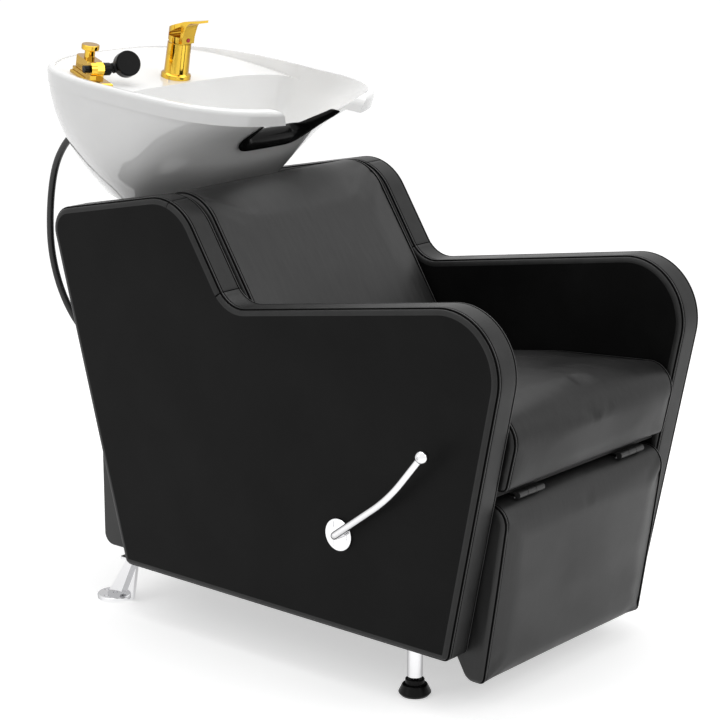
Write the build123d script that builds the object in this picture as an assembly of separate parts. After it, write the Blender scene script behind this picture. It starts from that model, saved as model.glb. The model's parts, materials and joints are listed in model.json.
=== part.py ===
from build123d import *
from math import acos, asin, cos, pi, radians, sin, tan
import os

# Hair washing chair with a tilting ceramic basin, in millimetres.
# Origin on the floor, mid-plane, midway between the two rear feet. +Z is up and the sitter faces -Y.

# Running clearances
pin_gap = 0.05          # radial, shaft in bore
seat_gap = 0.3          # between soft solids and what they lie against
slide_gap = 0.4         # between plates that swing past each other
overrun = 20.0          # how far a cut runs past the face that it cuts

# Body
inner_width = 480.0
panel_thick = 60.0
floor_gap = 100.0       # underside of the body above the floor
panel_edge_r = 7.0

# Side panel outline, corner by corner, as it would be before rounding
heel_y = -86.0
crest_rear_y = 95.0
crest_rear_z = 758.0
crest_y = -240.0
crest_z = 825.0
arm_root_y = -361.0
arm_root_z = 635.0
arm_front_y = -985.0
arm_front_z = 733.0
toe_y = -859.0
heel_r = 12.0
crest_rear_r = 45.0
crest_r = 100.0
arm_root_r = 60.0
arm_front_r = 110.0
toe_r = 15.0

# Seat
seat_board_top = 397.0
seat_board_thick = 13.0
board_thick = 12.0
cushion_side_gap = 1.2
cushion_seam_r = 8.0
board_side_gap = 0.5
edge_crown_share = 0.15
crest_crown_share = 0.4
seat_front_y = -928.0
seat_nose_y = -959.0
seat_nose_z = 546.0
seat_nose_r = 46.0
seat_hem_r = 14.0
seat_mid_y = -700.0
seat_mid_z = 526.0
seat_mid_r = 380.0
seat_rear_z = 490.0
seat_rear_r = 10.0
seat_back_gap = 5.0
seat_crown = 13.0
seat_board_setback = 26.0
seat_foot_r = 10.0

# Backrest
back_thick = 75.0
back_crown = 9.0
back_top_r = 88.0
back_crown_z = 650.0
back_crown_r = 420.0
back_rear_r = 11.0
back_foot_r = 11.0
rail_step = 3.0         # back board above the level of the seat board

# Leg rest
hinge_y = -915.0
hinge_z = 380.0
hinge_barrel_r = 6.0
hinge_pin_r = 3.0
leaf_thick = 3.0
leaf_length = 48.0
leaf_width = 70.0
leaf_spacing = 300.0
knuckle_gap = 0.5
pad_top_z = 373.0
pad_bottom_z = 48.0
pad_nose_y = -936.0
pad_nose_r = 34.0
pad_toe_y = -888.0
pad_toe_r = 14.0
pad_depth = 75.0
pad_crown = 6.0
pad_crown_r = 900.0
pad_sole = 38.0
pad_heel_rise = 47.0
pad_heel_back = 65.0
pad_heel_r = 22.0
pad_rear_r = 10.0
pad_board_thick = 12.0
pad_board_inset = 26.0
pad_board_side = 6.0

# Lever and linkage
lever_y = -622.0
lever_z = 277.0
lever_plate_r = 29.0
lever_plate_thick = 4.0
lever_stand_off = 0.6
lever_rod_r = 7.0
lever_ball_r = 12.0
lever_reach_y = 210.0   # from the pivot forwards to the ball
lever_reach_z = 188.0   # from the pivot up to the ball
lever_bend_y = 135.0
lever_bend_z = 99.0
lever_bend_r = 400.0
lever_root_r = 12.0
lever_out = 14.0        # rod's centre line, out from the plate
lever_flare = 18.0      # further out at the ball
plate_screw_ring_r = 20.0
plate_screw_r = 2.5
plate_screw_head_r = 5.0
plate_screw_angle = 118.0
screw_slot_width = 1.4
screw_slot_depth = 2.0
grub_r = 2.5
grub_depth = 6.0
grub_sink = 0.8
hub_r = 26.0
hub_thick = 8.0
hub_gap = 1.0
shaft_r = 10.0
shaft_far_x = 272.0
bush_r = 15.0
bush_flange_r = 22.0
bush_flange_thick = 3.0
crank_reach_y = 91.0
crank_reach_z = 80.0
crank_thick = 6.0
crank_eye_r = 16.0
crank_spacing = 300.0
link_pin_r = 5.0
link_pin_head_r = 8.0
link_pin_head_thick = 2.5
push_rod_thick = 5.0
push_rod_eye_r = 11.0
push_rod_width = 16.0
open_pivot_gap = 0.6    # radial, at the leg rest end of each push rod
horn_eye_r = 12.0
horn_foot = 64.0
horn_foot_thick = 3.0
horn_foot_width = 34.0

# Frame inside the body
rail_height = 30.0
rail_depth = 28.0
rail_front_y = -850.0
rail_rear_y = -520.0
crossbar_height = 30.0
crossbar_width = 50.0
crossbar_wall = 3.0
front_bar_y = -748.0
post_y = -112.0
post_side = 50.0
post_wall = 3.0
cleat_side = 25.0
cleat_length = 260.0
cleat_rise = 60.0       # from the foot of the back board to the cleats
back_board_top_z = 788.0

# Rear cover
cover_rear_y = 30.0
cover_side_y = -40.0
cover_bottom_z = 102.0
cover_top_z = 690.0
cover_wall = 4.0
cover_corner_r = 22.0
cover_lip = 24.0
cover_side_gap = 0.5

# Feet
foot_x = 245.0
foot_flange_r = 35.0
foot_flange_thick = 8.0
foot_hole_r = 4.3
foot_hole_ring_r = 24.0
foot_head_y = -66.0     # front face of the strap where it leaves its plate
foot_head_depth = 16.0
foot_sole_depth = 34.0
foot_sole_front = 24.0
foot_strap_width = 24.0
foot_pad_x = 58.0
foot_pad_y = 72.0
foot_pad_rear_y = -46.0
foot_pad_thick = 5.0
foot_web_thick = 7.0
foot_web_reach = 26.0
leg_x = 247.0
leg_pad_side = 60.0
leg_pad_thick = 4.0
leg_tube_r = 13.5
leg_tube_wall = 2.0
leg_plug_height = 24.0
glide_r = 29.0
glide_height = 20.0
glide_sole_r = 25.0
glide_collar_r = 17.0
glide_collar_height = 10.0
glide_stem_r = 6.0
glide_stem_length = 40.0
glide_waist_share = 0.75
leg_gap = 4.0           # between the glide's collar and the tube

# Basin, in its own tilted frame: rim plane at height zero, waist on the X axis
rim_waist_y = -35.0
rim_waist_z = 989.3
rim_slope = 5.2         # degrees, the rim falls towards the neck
bowl_half_width = 252.0
bowl_front = 310.0      # from the waist to the front of the rim
bowl_rear = 292.0
bowl_depth = 228.0
bowl_base = 17.0        # solid under the basin
rim_side_wall = 14.0
rim_front_wall = 16.0
rim_rear_wall = 12.0
rim_band = 30.0
rim_step = 1.2
rim_outer_r = 9.0
rim_tuck_share = 0.975
basin_waist = -25.0     # the basin is widest this far from the rim's waist
basin_back = 49.0       # front edge of the faucet deck
section_count = 16
rim_power_share = 3.0
# Lower sections of the outside, as shares of the depth, width, front and rear
outer_depth_shares = (0.0, 0.15, 0.33, 0.53, 0.76, 1.0)
outer_width_shares = (0.994, 0.986, 0.962, 0.917, 0.837, 0.710)
outer_front_shares = (0.855, 0.700, 0.548, 0.426, 0.287, 0.161)
outer_rear_shares = (0.990, 0.976, 0.962, 0.918, 0.798, 0.630)
outer_power_shares = (3.0, 2.9, 2.7, 2.5, 2.4, 2.3)
# Sections of the water basin, as shares of the same sizes
basin_depth_shares = (0.0, 0.142, 0.284, 0.45, 0.64, 0.853, 1.0)
basin_width_shares = (1.0, 0.996, 0.983, 0.954, 0.899, 0.790, 0.504)
basin_front_shares = (1.0, 0.857, 0.681, 0.517, 0.388, 0.236, 0.167)
basin_rear_shares = (1.0, 0.965, 0.924, 0.870, 0.804, 0.711, 0.608)
basin_power_shares = (3.0, 2.95, 2.85, 2.7, 2.5, 2.3, 2.1)
# Faucet deck and the hollow below it
faucet_back = 86.0      # from the rim's waist to the faucet's axis
deck_drop = 19.2        # deck below the rim plane at the faucet
deck_slope = 5.3        # degrees, the deck rises to the rear against the rim plane
deck_thick = 14.0
skirt_wall = 12.0
pocket_wall = 12.0      # between the basin and the hollow
window_width = 150.0
window_height = 56.0
window_x = -110.0
window_drop = 136.0
window_r = 20.0
# Neck notch
notch_drop = 96.0
notch_top_half = 114.0
notch_foot_half = 78.0
notch_foot_r = 36.0
notch_shoulder_r = 26.0
notch_length = 195.0
# Drain hole
drain_back = -7.0       # from the rim's waist, negative is towards the neck
drain_hole_r = 25.0

# Neck rest
neck_thick = 12.0
neck_half_width = 78.0
neck_apron_drop = 14.0  # below the notch at mid-plane
neck_apron_r = 250.0
neck_saddle_r = 155.0
neck_apron_thick = 8.0
neck_corner_r = 9.0
neck_back = -158.0      # rear edge of the shelf, from the rim's waist

# Basin support
pivot_y = -20.0
pivot_z = 716.0
pivot_r = 6.0
pivot_head_r = 10.0
pivot_head_thick = 5.0
fork_half_gap = 72.0
fork_thick = 6.0
fork_eye_r = 19.0
fork_foot_front_y = -136.0
fork_foot_rear_y = 5.0
fork_height = 46.0      # from the head plate up to the pivot
head_plate_thick = 6.0
waste_slot = 60.0       # opening in the head plate below the drain
waste_slot_front_y = -48.0
cradle_thick = 5.0
cradle_gasket = 3.0
cradle_half_width = 104.0
cradle_front = -44.0
cradle_back = 58.0
cradle_corner_r = 18.0
cradle_hole_r = 42.0
lug_thick = 5.0
lug_foot_front = -34.0
lug_foot_back = 50.0

# Drain
drain_flange_r = 34.0
drain_flange_thick = 2.5
drain_shank_r = 24.0
drain_shank_length = 52.0
drain_nut_r = 34.0
drain_nut_thick = 9.0
drain_washer_thick = 3.0
tail_r = 19.0          # outlet end
tail_neck_r = 18.4     # in the slip joint
tail_wall = 2.0
tail_outlet = 30.0
tail_length = 76.0
tail_in_shank = 14.0
strainer_thick = 2.0
strainer_hole_r = 3.2
strainer_ring_r = 12.0
strainer_hole_count = 8
drain_nut_sides = 8
slip_nut_r = 27.0
slip_nut_thick = 12.0

# Faucet
faucet_base_r = 29.0
faucet_base_height = 8.0
faucet_base_round = 3.0
faucet_body_r = 24.0
faucet_top_r = 23.0
faucet_body_height = 70.0
faucet_groove = 1.6
faucet_shank_r = 16.0
faucet_shank_length = 46.0
faucet_nut_r = 23.0
faucet_nut_thick = 7.0
stem_r = 8.0
stem_foot_r = 12.0
stem_foot_height = 3.0
stem_height = 6.5
stem_socket = 14.0
lift_pin_r = 1.5
lift_pin_reach = 20.0
handle_cap_r = 23.0
handle_pocket_r = 15.0
handle_pocket_depth = 9.8
handle_front = 22.0
handle_face_share = 1.0
handle_back_rise = 24.0
handle_back_round = 12.0
handle_brow = 46.0
handle_brow_round = 26.0
handle_throat = 7.0
handle_throat_round = 18.0
handle_frame = 5.0
handle_window_foot = 13.0
handle_window_round = 2.5
handle_taper_share = 0.8
handle_lift = 18.0      # degrees
handle_gap = 1.2
handle_reach = 58.0
handle_rise = 56.0
handle_width = 15.0
handle_thick = 5.0
lift_margin = 1.0       # degrees
lift_axis_height = 4.0
index_r = 4.0
handle_chin = 14.0
index_height = 8.0
index_thick = 1.2
inlet_r = 5.0
inlet_length = 26.0
inlet_spread = 9.0
inlet_front = 6.0
hose_back = 8.5

# Hose guide and vacuum breaker
guide_x = -175.0
guide_back = 50.0       # behind the faucet's axis, along the deck
guide_turn = -19.0      # degrees, follows the rim's corner
guide_plate_x = 42.0
guide_plate_y = 104.0
guide_plate_thick = 6.0
guide_block_x = 30.0
guide_block_y = 62.0
guide_block_height = 24.0
guide_step_x = 34.0
guide_step_y = 66.0
guide_step_height = 7.0
guide_column_r = 10.0
guide_column_height = 16.0
guide_cap_r = 17.0
guide_cap_thick = 10.0
guide_shift = 17.0      # column behind the middle of the plate
guide_outlet_shift = 32.0
guide_cap_well_share = 0.5
guide_nut_r = 13.0
guide_nut_length = 14.0
guide_axis_height = 29.0
guide_mouth_x = 5.0     # end of the outlet's nut, from the middle of the plate
guide_shank_r = 11.0
guide_shank_length = 30.0
guide_shank_nut_r = 19.0
guide_shank_nut_thick = 7.0

# Sprayer
hose_r = 7.0
outlet_gap = 0.4
sprayer_stub = 38.0
sprayer_collar_r = 12.0
sprayer_collar_length = 15.0
sprayer_neck_r = 8.0
sprayer_neck_length = 11.0
sprayer_head_r = 24.5
sprayer_head_thick = 22.0
sprayer_face_r = 20.0
sprayer_face_thick = 2.0
sprayer_face_sink = 0.6
sprayer_head_round = 3.0
sprayer_rise = 15.0          # degrees, the neck rises away from the guide
sprayer_neck_rib_r = 10.0
sprayer_neck_rib = 4.0
sprayer_face_x = -0.35      # direction that the spray face looks in
sprayer_face_y = -0.88
sprayer_face_z = 0.3
nozzle_r = 0.9
sprayer_rings = ((0.35, 8), (0.58, 14), (0.82, 20))     # share of the face's radius, holes

# Loose hose, the chosen points of its route between the two ends
hose_route = [
    (-165.0, 150.0, 888.0), (-156.0, 203.0, 852.0), (-151.0, 240.0, 800.0), (-149.0, 259.0, 715.0),
    (-149.0, 259.0, 625.0), (-146.0, 230.0, 538.0), (-136.0, 178.0, 468.0), (-114.0, 112.0, 476.0),
    (-94.0, 86.0, 556.0), (-77.0, 96.0, 650.0), (-60.0, 114.0, 736.0), (-38.0, 124.0, 812.0),
    (-12.0, 106.0, 866.0),
]
hose_end_run = 34.0
hose_bend_share = 0.45

# Places worked out from the sizes above
half_inner = inner_width / 2
half_outer = half_inner + panel_thick
half_cushion = half_inner - cushion_side_gap
face_run = Vector(crest_y - arm_root_y, crest_z - arm_root_z).normalized()
face_back = Vector(face_run.Y, -face_run.X)
crest_run = Vector(crest_rear_y - crest_y, crest_rear_z - crest_z).normalized()
link_x = crank_spacing / 2
crank_out_x = link_x + crank_thick / 2
push_rod_in_x = crank_out_x + slide_gap
push_rod_out_x = push_rod_in_x + push_rod_thick
link_tip_x = push_rod_out_x + slide_gap
crank_pin = Vector(lever_y + crank_reach_y, lever_z - crank_reach_z)
horn_pin = Vector(hinge_y + crank_reach_y, hinge_z - crank_reach_z)
seat_bottom_z = seat_board_top + seat_gap
rail_top_z = seat_board_top - seat_board_thick
bar_bottom_z = floor_gap
post_bottom_z = floor_gap + crossbar_height
head_plate_top_z = pivot_z - fork_height
bowl_frame = Pos(0, rim_waist_y, rim_waist_z) * Rot(rim_slope, 0, 0)
deck_frame = bowl_frame * Pos(0, faucet_back, -deck_drop) * Rot(deck_slope, 0, 0)
guide_frame = deck_frame * Pos(guide_x, guide_back, 0) * Rot(0, 0, guide_turn)
basin_depth = bowl_depth - bowl_base
up = (Align.CENTER, Align.CENTER, Align.MIN)
down = (Align.CENTER, Align.CENTER, Align.MAX)
middle = (Align.CENTER, Align.CENTER, Align.CENTER)
across = Rot(0, 90, 0)

nodes = {}


def keep(name, *solids):
    """File the solids of one piece under its name."""
    nodes[name] = list(solids)


def both_sides(solid):
    """The solid and its mirror image across the mid-plane."""
    return [mirror(solid, about=Plane.YZ), solid]


def outline(corners):
    """Flat face through (u, v, radius) corners, each rounded to its radius."""
    face = make_face(Polyline([(u, v) for u, v, _ in corners], close=True))
    for u, v, radius in corners:
        if radius > 0:
            corner = face.vertices().sort_by_distance((u, v, 0))[0]
            face = fillet(corner, radius)
    return face


def slab(face, x0, x1):
    """A side profile drawn in Y and Z, run from x0 to x1."""
    placed = Pos(x0, 0, 0) * (Plane.YZ * face)
    return extrude(placed, amount=x1 - x0, dir=(1, 0, 0))


def cross_pin(radius, y, z, x0, x1):
    """A round pin along X."""
    return Pos(x0, y, z) * across * Cylinder(radius, x1 - x0, align=up)


def box_between(x0, x1, y0, y1, z0, z1):
    """A box from its limits."""
    return Pos(x0, y0, z0) * Box(x1 - x0, y1 - y0, z1 - z0, align=(Align.MIN,) * 3)


def bar_outline(start, end, half_width):
    """Flat bar with round ends between two points, seen from the side."""
    run = (end - start).normalized()
    side = Vector(-run.Y, run.X) * half_width
    points = [start + side, end + side, end - side, start - side]
    body = make_face(Polyline([(p.X, p.Y) for p in points], close=True))
    ends = [Pos(p.X, p.Y, 0) * Circle(half_width) for p in (start, end)]
    return body + ends[0] + ends[1]


def crossing(point, run, other, other_run):
    """Where two lines in the side view cross."""
    gap = other - point
    turn = run.X * other_run.Y - run.Y * other_run.X
    along = (gap.X * other_run.Y - gap.Y * other_run.X) / turn
    return point + run * along


def pillow(edge_face, middle_face, half_width, edge_r):
    """A cushion lofted from side to side, fuller in the middle, with rounded side seams."""
    places = ((-half_width, edge_face), (0, middle_face), (half_width, edge_face))
    sections = [Pos(x, 0, 0) * (Plane.YZ * face) for x, face in places]
    body = loft([section.face() for section in sections])
    seams = body.faces().sort_by(Axis.X)
    edges = seams[0].edges() + seams[-1].edges()
    return fillet(edges, edge_r)


def side_panel_outline():
    return outline([
        (heel_y, floor_gap, heel_r),
        (crest_rear_y, crest_rear_z, crest_rear_r),
        (crest_y, crest_z, crest_r),
        (arm_root_y, arm_root_z, arm_root_r),
        (arm_front_y, arm_front_z, arm_front_r),
        (toe_y, floor_gap, toe_r),
    ])


def make_side_panels():
    """Padded side walls, with the lever's shaft running through both."""
    body = slab(side_panel_outline(), half_inner, half_outer)
    body = fillet(body.edges(), panel_edge_r)
    inner_bore = bush_r + pin_gap
    depth = shaft_far_x + hub_gap
    right = body - cross_pin(inner_bore, lever_y, lever_z, half_inner - overrun, depth)
    left = mirror(body, about=Plane.YZ)
    left -= cross_pin(inner_bore, lever_y, lever_z, -half_outer - overrun, -half_inner + overrun)
    hub_seat = -half_outer - lever_stand_off + hub_thick + hub_gap
    left -= cross_pin(hub_r + hub_gap, lever_y, lever_z, -half_outer - overrun, hub_seat)
    keep("side_panel_left", left)
    keep("side_panel_right", right)


def back_face_point(z, out=0.0):
    """Point on the line of the backrest's face at height z, moved out towards the sitter."""
    root = Vector(arm_root_y, arm_root_z)
    point = root + face_run * ((z - root.Y) / face_run.Y)
    return point - face_back * out


def seat_outline(drop):
    """Side profile of the seat cushion, its top lowered by the drop."""
    rear_top = back_face_point(seat_rear_z - drop)
    rear_foot = back_face_point(seat_bottom_z)
    return outline([
        (seat_front_y, seat_bottom_z, seat_hem_r),
        (seat_nose_y, seat_nose_z - drop, seat_nose_r),
        (seat_mid_y, seat_mid_z - drop, seat_mid_r),
        (rear_top.X - seat_back_gap, rear_top.Y, seat_rear_r),
        (rear_foot.X - seat_back_gap, seat_bottom_z, seat_foot_r),
    ])


def make_seat():
    """Seat cushion on its board, the board on two rails screwed to the side walls."""
    keep("seat_cushion", pillow(seat_outline(seat_crown), seat_outline(0), half_cushion, cushion_seam_r))
    board_front = seat_front_y + seat_board_setback
    board_half = half_inner - board_side_gap
    keep("seat_board", box_between(-board_half, board_half, board_front, rail_rear_y,
                                   rail_top_z, seat_board_top))
    rail = box_between(half_inner - rail_depth, half_inner, rail_front_y, rail_rear_y,
                       rail_top_z - rail_height, rail_top_z)
    keep("seat_rails", *both_sides(rail))


def back_outline(crown):
    """Side profile of the backrest cushion, its face pushed out by the crown."""
    foot = back_face_point(seat_bottom_z)
    chest = back_face_point(back_crown_z, crown)
    crest = Vector(crest_y, crest_z) - face_back * (crown * crest_crown_share)
    rear_point = Vector(arm_root_y, arm_root_z) + face_back * back_thick
    crest_rear = crossing(crest, crest_run, rear_point, face_run)
    rear_foot = crossing(foot, Vector(1, 0), rear_point, face_run)
    return outline([
        (foot.X, foot.Y, back_foot_r),
        (chest.X, chest.Y, back_crown_r),
        (crest.X, crest.Y, back_top_r),
        (crest_rear.X, crest_rear.Y, back_rear_r),
        (rear_foot.X, rear_foot.Y, back_foot_r),
    ])


def make_back():
    """Backrest cushion on a board, the board screwed to cleats on the side walls."""
    edge = back_outline(back_crown * edge_crown_share)
    keep("back_cushion", pillow(edge, back_outline(back_crown), half_cushion, cushion_seam_r))
    front = Vector(arm_root_y, arm_root_z) + face_back * (back_thick + seat_gap)
    rear = front + face_back * board_thick
    level = Vector(1, 0)
    floor = Vector(0, seat_bottom_z + rail_step)
    top = Vector(0, back_board_top_z)
    corners = [
        crossing(floor, level, front, face_run),
        crossing(top, level, front, face_run),
        crossing(top, level, rear, face_run),
        crossing(floor, level, rear, face_run),
    ]
    board_half = half_inner - board_side_gap
    keep("back_board", slab(outline([(p.X, p.Y, 0) for p in corners]), -board_half, board_half))
    start = corners[3] + face_run * cleat_rise
    ends = [start, start + face_run * cleat_length]
    deep = face_back * cleat_side
    cleat_corners = [ends[0], ends[1], ends[1] + deep, ends[0] + deep]
    cleat = slab(outline([(p.X, p.Y, 0) for p in cleat_corners]), half_inner - cleat_side, half_inner)
    keep("back_cleats", *both_sides(cleat))


def pad_rear_line():
    """A point at the top rear edge of the leg rest pad and the direction down its rear face."""
    top = Vector(pad_nose_y + pad_depth, pad_top_z)
    heel = Vector(pad_toe_y + pad_heel_back, pad_bottom_z + pad_heel_rise)
    return top, heel


def pad_outline(crown):
    """Side profile of the leg rest pad, its front face pushed out by the crown."""
    top, heel = pad_rear_line()
    nose = Vector(pad_nose_y, pad_top_z)
    toe = Vector(pad_toe_y, pad_bottom_z)
    shin = (nose + toe) / 2
    return outline([
        (nose.X, nose.Y, pad_nose_r),
        (top.X, top.Y, pad_rear_r),
        (heel.X, heel.Y, pad_heel_r),
        (pad_toe_y + pad_sole, pad_bottom_z, pad_heel_r),
        (toe.X, toe.Y, pad_toe_r),
        (shin.X - crown, shin.Y, pad_crown_r),
    ])


def make_legrest():
    """Leg rest pad on its board."""
    edge = pad_outline(pad_crown * edge_crown_share)
    keep("legrest_pad", pillow(edge, pad_outline(pad_crown), half_cushion, cushion_seam_r))
    top, heel = pad_rear_line()
    run = (heel - top).normalized()
    back = Vector(-run.Y, run.X)
    start = top + run * pad_board_inset + back * seat_gap
    end = heel - run * pad_board_inset + back * seat_gap
    corners = [start, end, end + back * pad_board_thick, start + back * pad_board_thick]
    board_half = half_inner - pad_board_side
    keep("legrest_board", slab(outline([(p.X, p.Y, 0) for p in corners]), -board_half, board_half))
    return start + back * pad_board_thick, run, back


def hinge_leaf(side, x0, x1, z0, z1):
    """One hinge leaf: a plate behind the barrel, and knuckles with their tongues."""
    width = leaf_width / 3
    own = ((-1.5, -0.5), (0.5, 1.5)) if side == "fixed" else ((-0.5, 0.5),)
    plate = box_between(x0, x1, hinge_y + hinge_barrel_r + knuckle_gap, hinge_y + leaf_length, z0, z1)
    centre = (x0 + x1) / 2
    for first, last in own:
        left = centre + first * width + (knuckle_gap if first > -1 else 0)
        right = centre + last * width - (knuckle_gap if last < 1 else 0)
        plate += cross_pin(hinge_barrel_r, hinge_y, hinge_z, left, right)
        plate += box_between(left, right, hinge_y, hinge_y + leaf_length, z0, z1)
    return plate - cross_pin(hinge_pin_r + pin_gap, hinge_y, hinge_z, x0 - overrun, x1 + overrun)


def make_hinges():
    """Two butt hinges between the seat board and the top of the leg rest."""
    fixed = []
    moving = []
    pins = []
    for side in (-1, 1):
        centre = side * leaf_spacing / 2
        x0 = centre - leaf_width / 2
        x1 = centre + leaf_width / 2
        fixed.append(hinge_leaf("fixed", x0, x1, rail_top_z - leaf_thick, rail_top_z))
        low = pad_top_z + seat_gap
        moving.append(hinge_leaf("moving", x0, x1, low, low + leaf_thick))
        pins.append(cross_pin(hinge_pin_r, hinge_y, hinge_z, x0, x1))
    keep("seat_hinge_leaves", *fixed)
    keep("legrest_hinge_leaves", *moving)
    keep("legrest_hinge_pins", *pins)


def lever_path():
    """Centre line of the lever rod, out of its plate and up to the ball."""
    plate_x = -half_outer - lever_stand_off - lever_plate_thick
    out_x = plate_x - lever_out
    ball = (out_x - lever_flare, lever_y - lever_reach_y, lever_z + lever_reach_z)
    bend_share = lever_bend_y / lever_reach_y
    bend = (out_x - lever_flare * bend_share, lever_y - lever_bend_y, lever_z + lever_bend_z)
    points = [(plate_x, lever_y, lever_z), (out_x, lever_y, lever_z), bend, ball]
    return FilletPolyline(points, radius=[lever_root_r, lever_bend_r]), ball


def make_lever():
    """Hand lever: a plate on the end of the shaft, a bent rod and a ball."""
    plate_x = -half_outer - lever_stand_off
    path, ball = lever_path()
    rod = sweep(Plane(origin=path @ 0, z_dir=path % 0) * Circle(lever_rod_r), path=path)
    plate = cross_pin(lever_plate_r, lever_y, lever_z, plate_x - lever_plate_thick, plate_x)
    rim = plate.faces().sort_by(Axis.X)[0].edges()
    plate = fillet(rim, lever_plate_thick / 3)
    screws = []
    for count in range(3):
        angle = radians(plate_screw_angle + count * 120)
        y = lever_y - plate_screw_ring_r * cos(angle)
        z = lever_z + plate_screw_ring_r * sin(angle)
        outer = plate_x - lever_plate_thick
        shank = cross_pin(plate_screw_r, y, z, outer, plate_x + hub_thick / 2)
        cone = Pos(outer, y, z) * across * Cone(plate_screw_head_r, plate_screw_r,
                                                plate_screw_head_r - plate_screw_r, align=up)
        slot = Pos(outer, y, z) * Box(screw_slot_depth, screw_slot_width, 2 * plate_screw_head_r)
        screws.append(shank + cone)
        plate -= shank + cone
        screws[-1] -= slot
    keep("lever_plate_screws", *screws)
    rod -= Pos(*ball) * Sphere(lever_ball_r)
    keep("lever_handle", plate + rod)
    grub = Plane(origin=ball, z_dir=(-1, 0, 0)) * Pos(0, 0, lever_ball_r - grub_depth)
    screw = grub * Cylinder(grub_r, grub_depth, align=up)
    knob = Pos(*ball) * Sphere(lever_ball_r)
    knob -= grub * Cylinder(grub_r, lever_ball_r, align=up)
    keep("lever_ball", knob)
    keep("lever_grub_screw", screw & Pos(*ball) * Sphere(lever_ball_r - grub_sink))
    return screws


def make_shaft(screws):
    """Cross shaft with its hub and cranks, running in a bush in each side wall."""
    plate_x = -half_outer - lever_stand_off
    shaft = cross_pin(shaft_r, lever_y, lever_z, plate_x, shaft_far_x)
    shaft += cross_pin(hub_r, lever_y, lever_z, plate_x, plate_x + hub_thick)
    for screw in screws:
        shaft -= screw
    keep("lever_shaft", shaft)
    hub_seat = plate_x + hub_thick + hub_gap
    bore = cross_pin(shaft_r + pin_gap, lever_y, lever_z, -half_outer - overrun, half_outer + overrun)
    near = cross_pin(bush_r, lever_y, lever_z, hub_seat, -half_inner)
    near += cross_pin(bush_flange_r, lever_y, lever_z, -half_inner, -half_inner + bush_flange_thick)
    far = cross_pin(bush_r, lever_y, lever_z, half_inner, shaft_far_x)
    far += cross_pin(bush_flange_r, lever_y, lever_z, half_inner - bush_flange_thick, half_inner)
    keep("shaft_bushes", near - bore, far - bore)
    eye = Vector(lever_y, lever_z)
    plan = Pos(eye.X, eye.Y) * Circle(crank_eye_r)
    plan += bar_outline(eye, crank_pin, push_rod_eye_r)
    plan -= Pos(eye.X, eye.Y) * Circle(shaft_r)
    crank = slab(plan, link_x - crank_thick / 2, crank_out_x)
    crank -= cross_pin(link_pin_r, crank_pin.X, crank_pin.Y, 0, half_inner)
    keep("lever_cranks", *both_sides(crank))
    keep("crank_pins", *both_sides(link_pin(crank_pin, link_x - crank_thick / 2)))


def link_pin(place, x0):
    """Headed pin that carries one end of a push rod."""
    pin = cross_pin(link_pin_r, place.X, place.Y, x0, link_tip_x + link_pin_head_thick)
    return pin + cross_pin(link_pin_head_r, place.X, place.Y, link_tip_x, link_tip_x + link_pin_head_thick)


def make_push_rods():
    """Flat push rods from the cranks to the leg rest."""
    plan = bar_outline(crank_pin, horn_pin, push_rod_width / 2)
    for place, bore in ((crank_pin, link_pin_r + pin_gap), (horn_pin, link_pin_r + open_pivot_gap)):
        plan += Pos(place.X, place.Y) * Circle(push_rod_eye_r)
        plan -= Pos(place.X, place.Y) * Circle(bore)
    rods = both_sides(slab(plan, push_rod_in_x, push_rod_out_x))
    keep("push_rod_left", rods[0])
    keep("push_rod_right", rods[1])


def make_horns(foot_point, run, back):
    """Brackets on the leg rest board that the push rods push on."""
    seat = foot_point + run * (horn_pin - foot_point).dot(run)
    half = run * (horn_foot / 2)
    deep = back * horn_foot_thick
    foot_corners = [seat - half, seat + half, seat + half + deep, seat - half + deep]
    foot = slab(outline([(p.X, p.Y, 0) for p in foot_corners]),
                link_x - horn_foot_width / 2 - crank_thick, link_x + crank_thick / 2)
    plan = bar_outline(seat + back * horn_eye_r, horn_pin, horn_eye_r)
    plan += outline([(p.X, p.Y, 0) for p in (seat - half, seat + half, horn_pin + back * horn_eye_r)])
    plan -= outline([(p.X, p.Y, 0) for p in (
        seat - half * 2, seat + half * 2, seat + half * 2 - back * horn_foot, seat - half * 2 - back * horn_foot)])
    plan -= Pos(horn_pin.X, horn_pin.Y) * Circle(link_pin_r)
    horn = slab(plan, link_x - crank_thick / 2, crank_out_x)
    keep("legrest_brackets", *both_sides(foot + horn))
    keep("legrest_link_pins", *both_sides(link_pin(horn_pin, link_x - crank_thick / 2)))


def crossbar(y):
    """Box tube between the side walls."""
    half = crossbar_width / 2
    top = bar_bottom_z + crossbar_height
    wall = crossbar_wall
    tube = box_between(-half_inner, half_inner, y - half, y + half, bar_bottom_z, top)
    return tube - box_between(-half_outer, half_outer, y - half + wall, y + half - wall,
                              bar_bottom_z + wall, top - wall)


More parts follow.
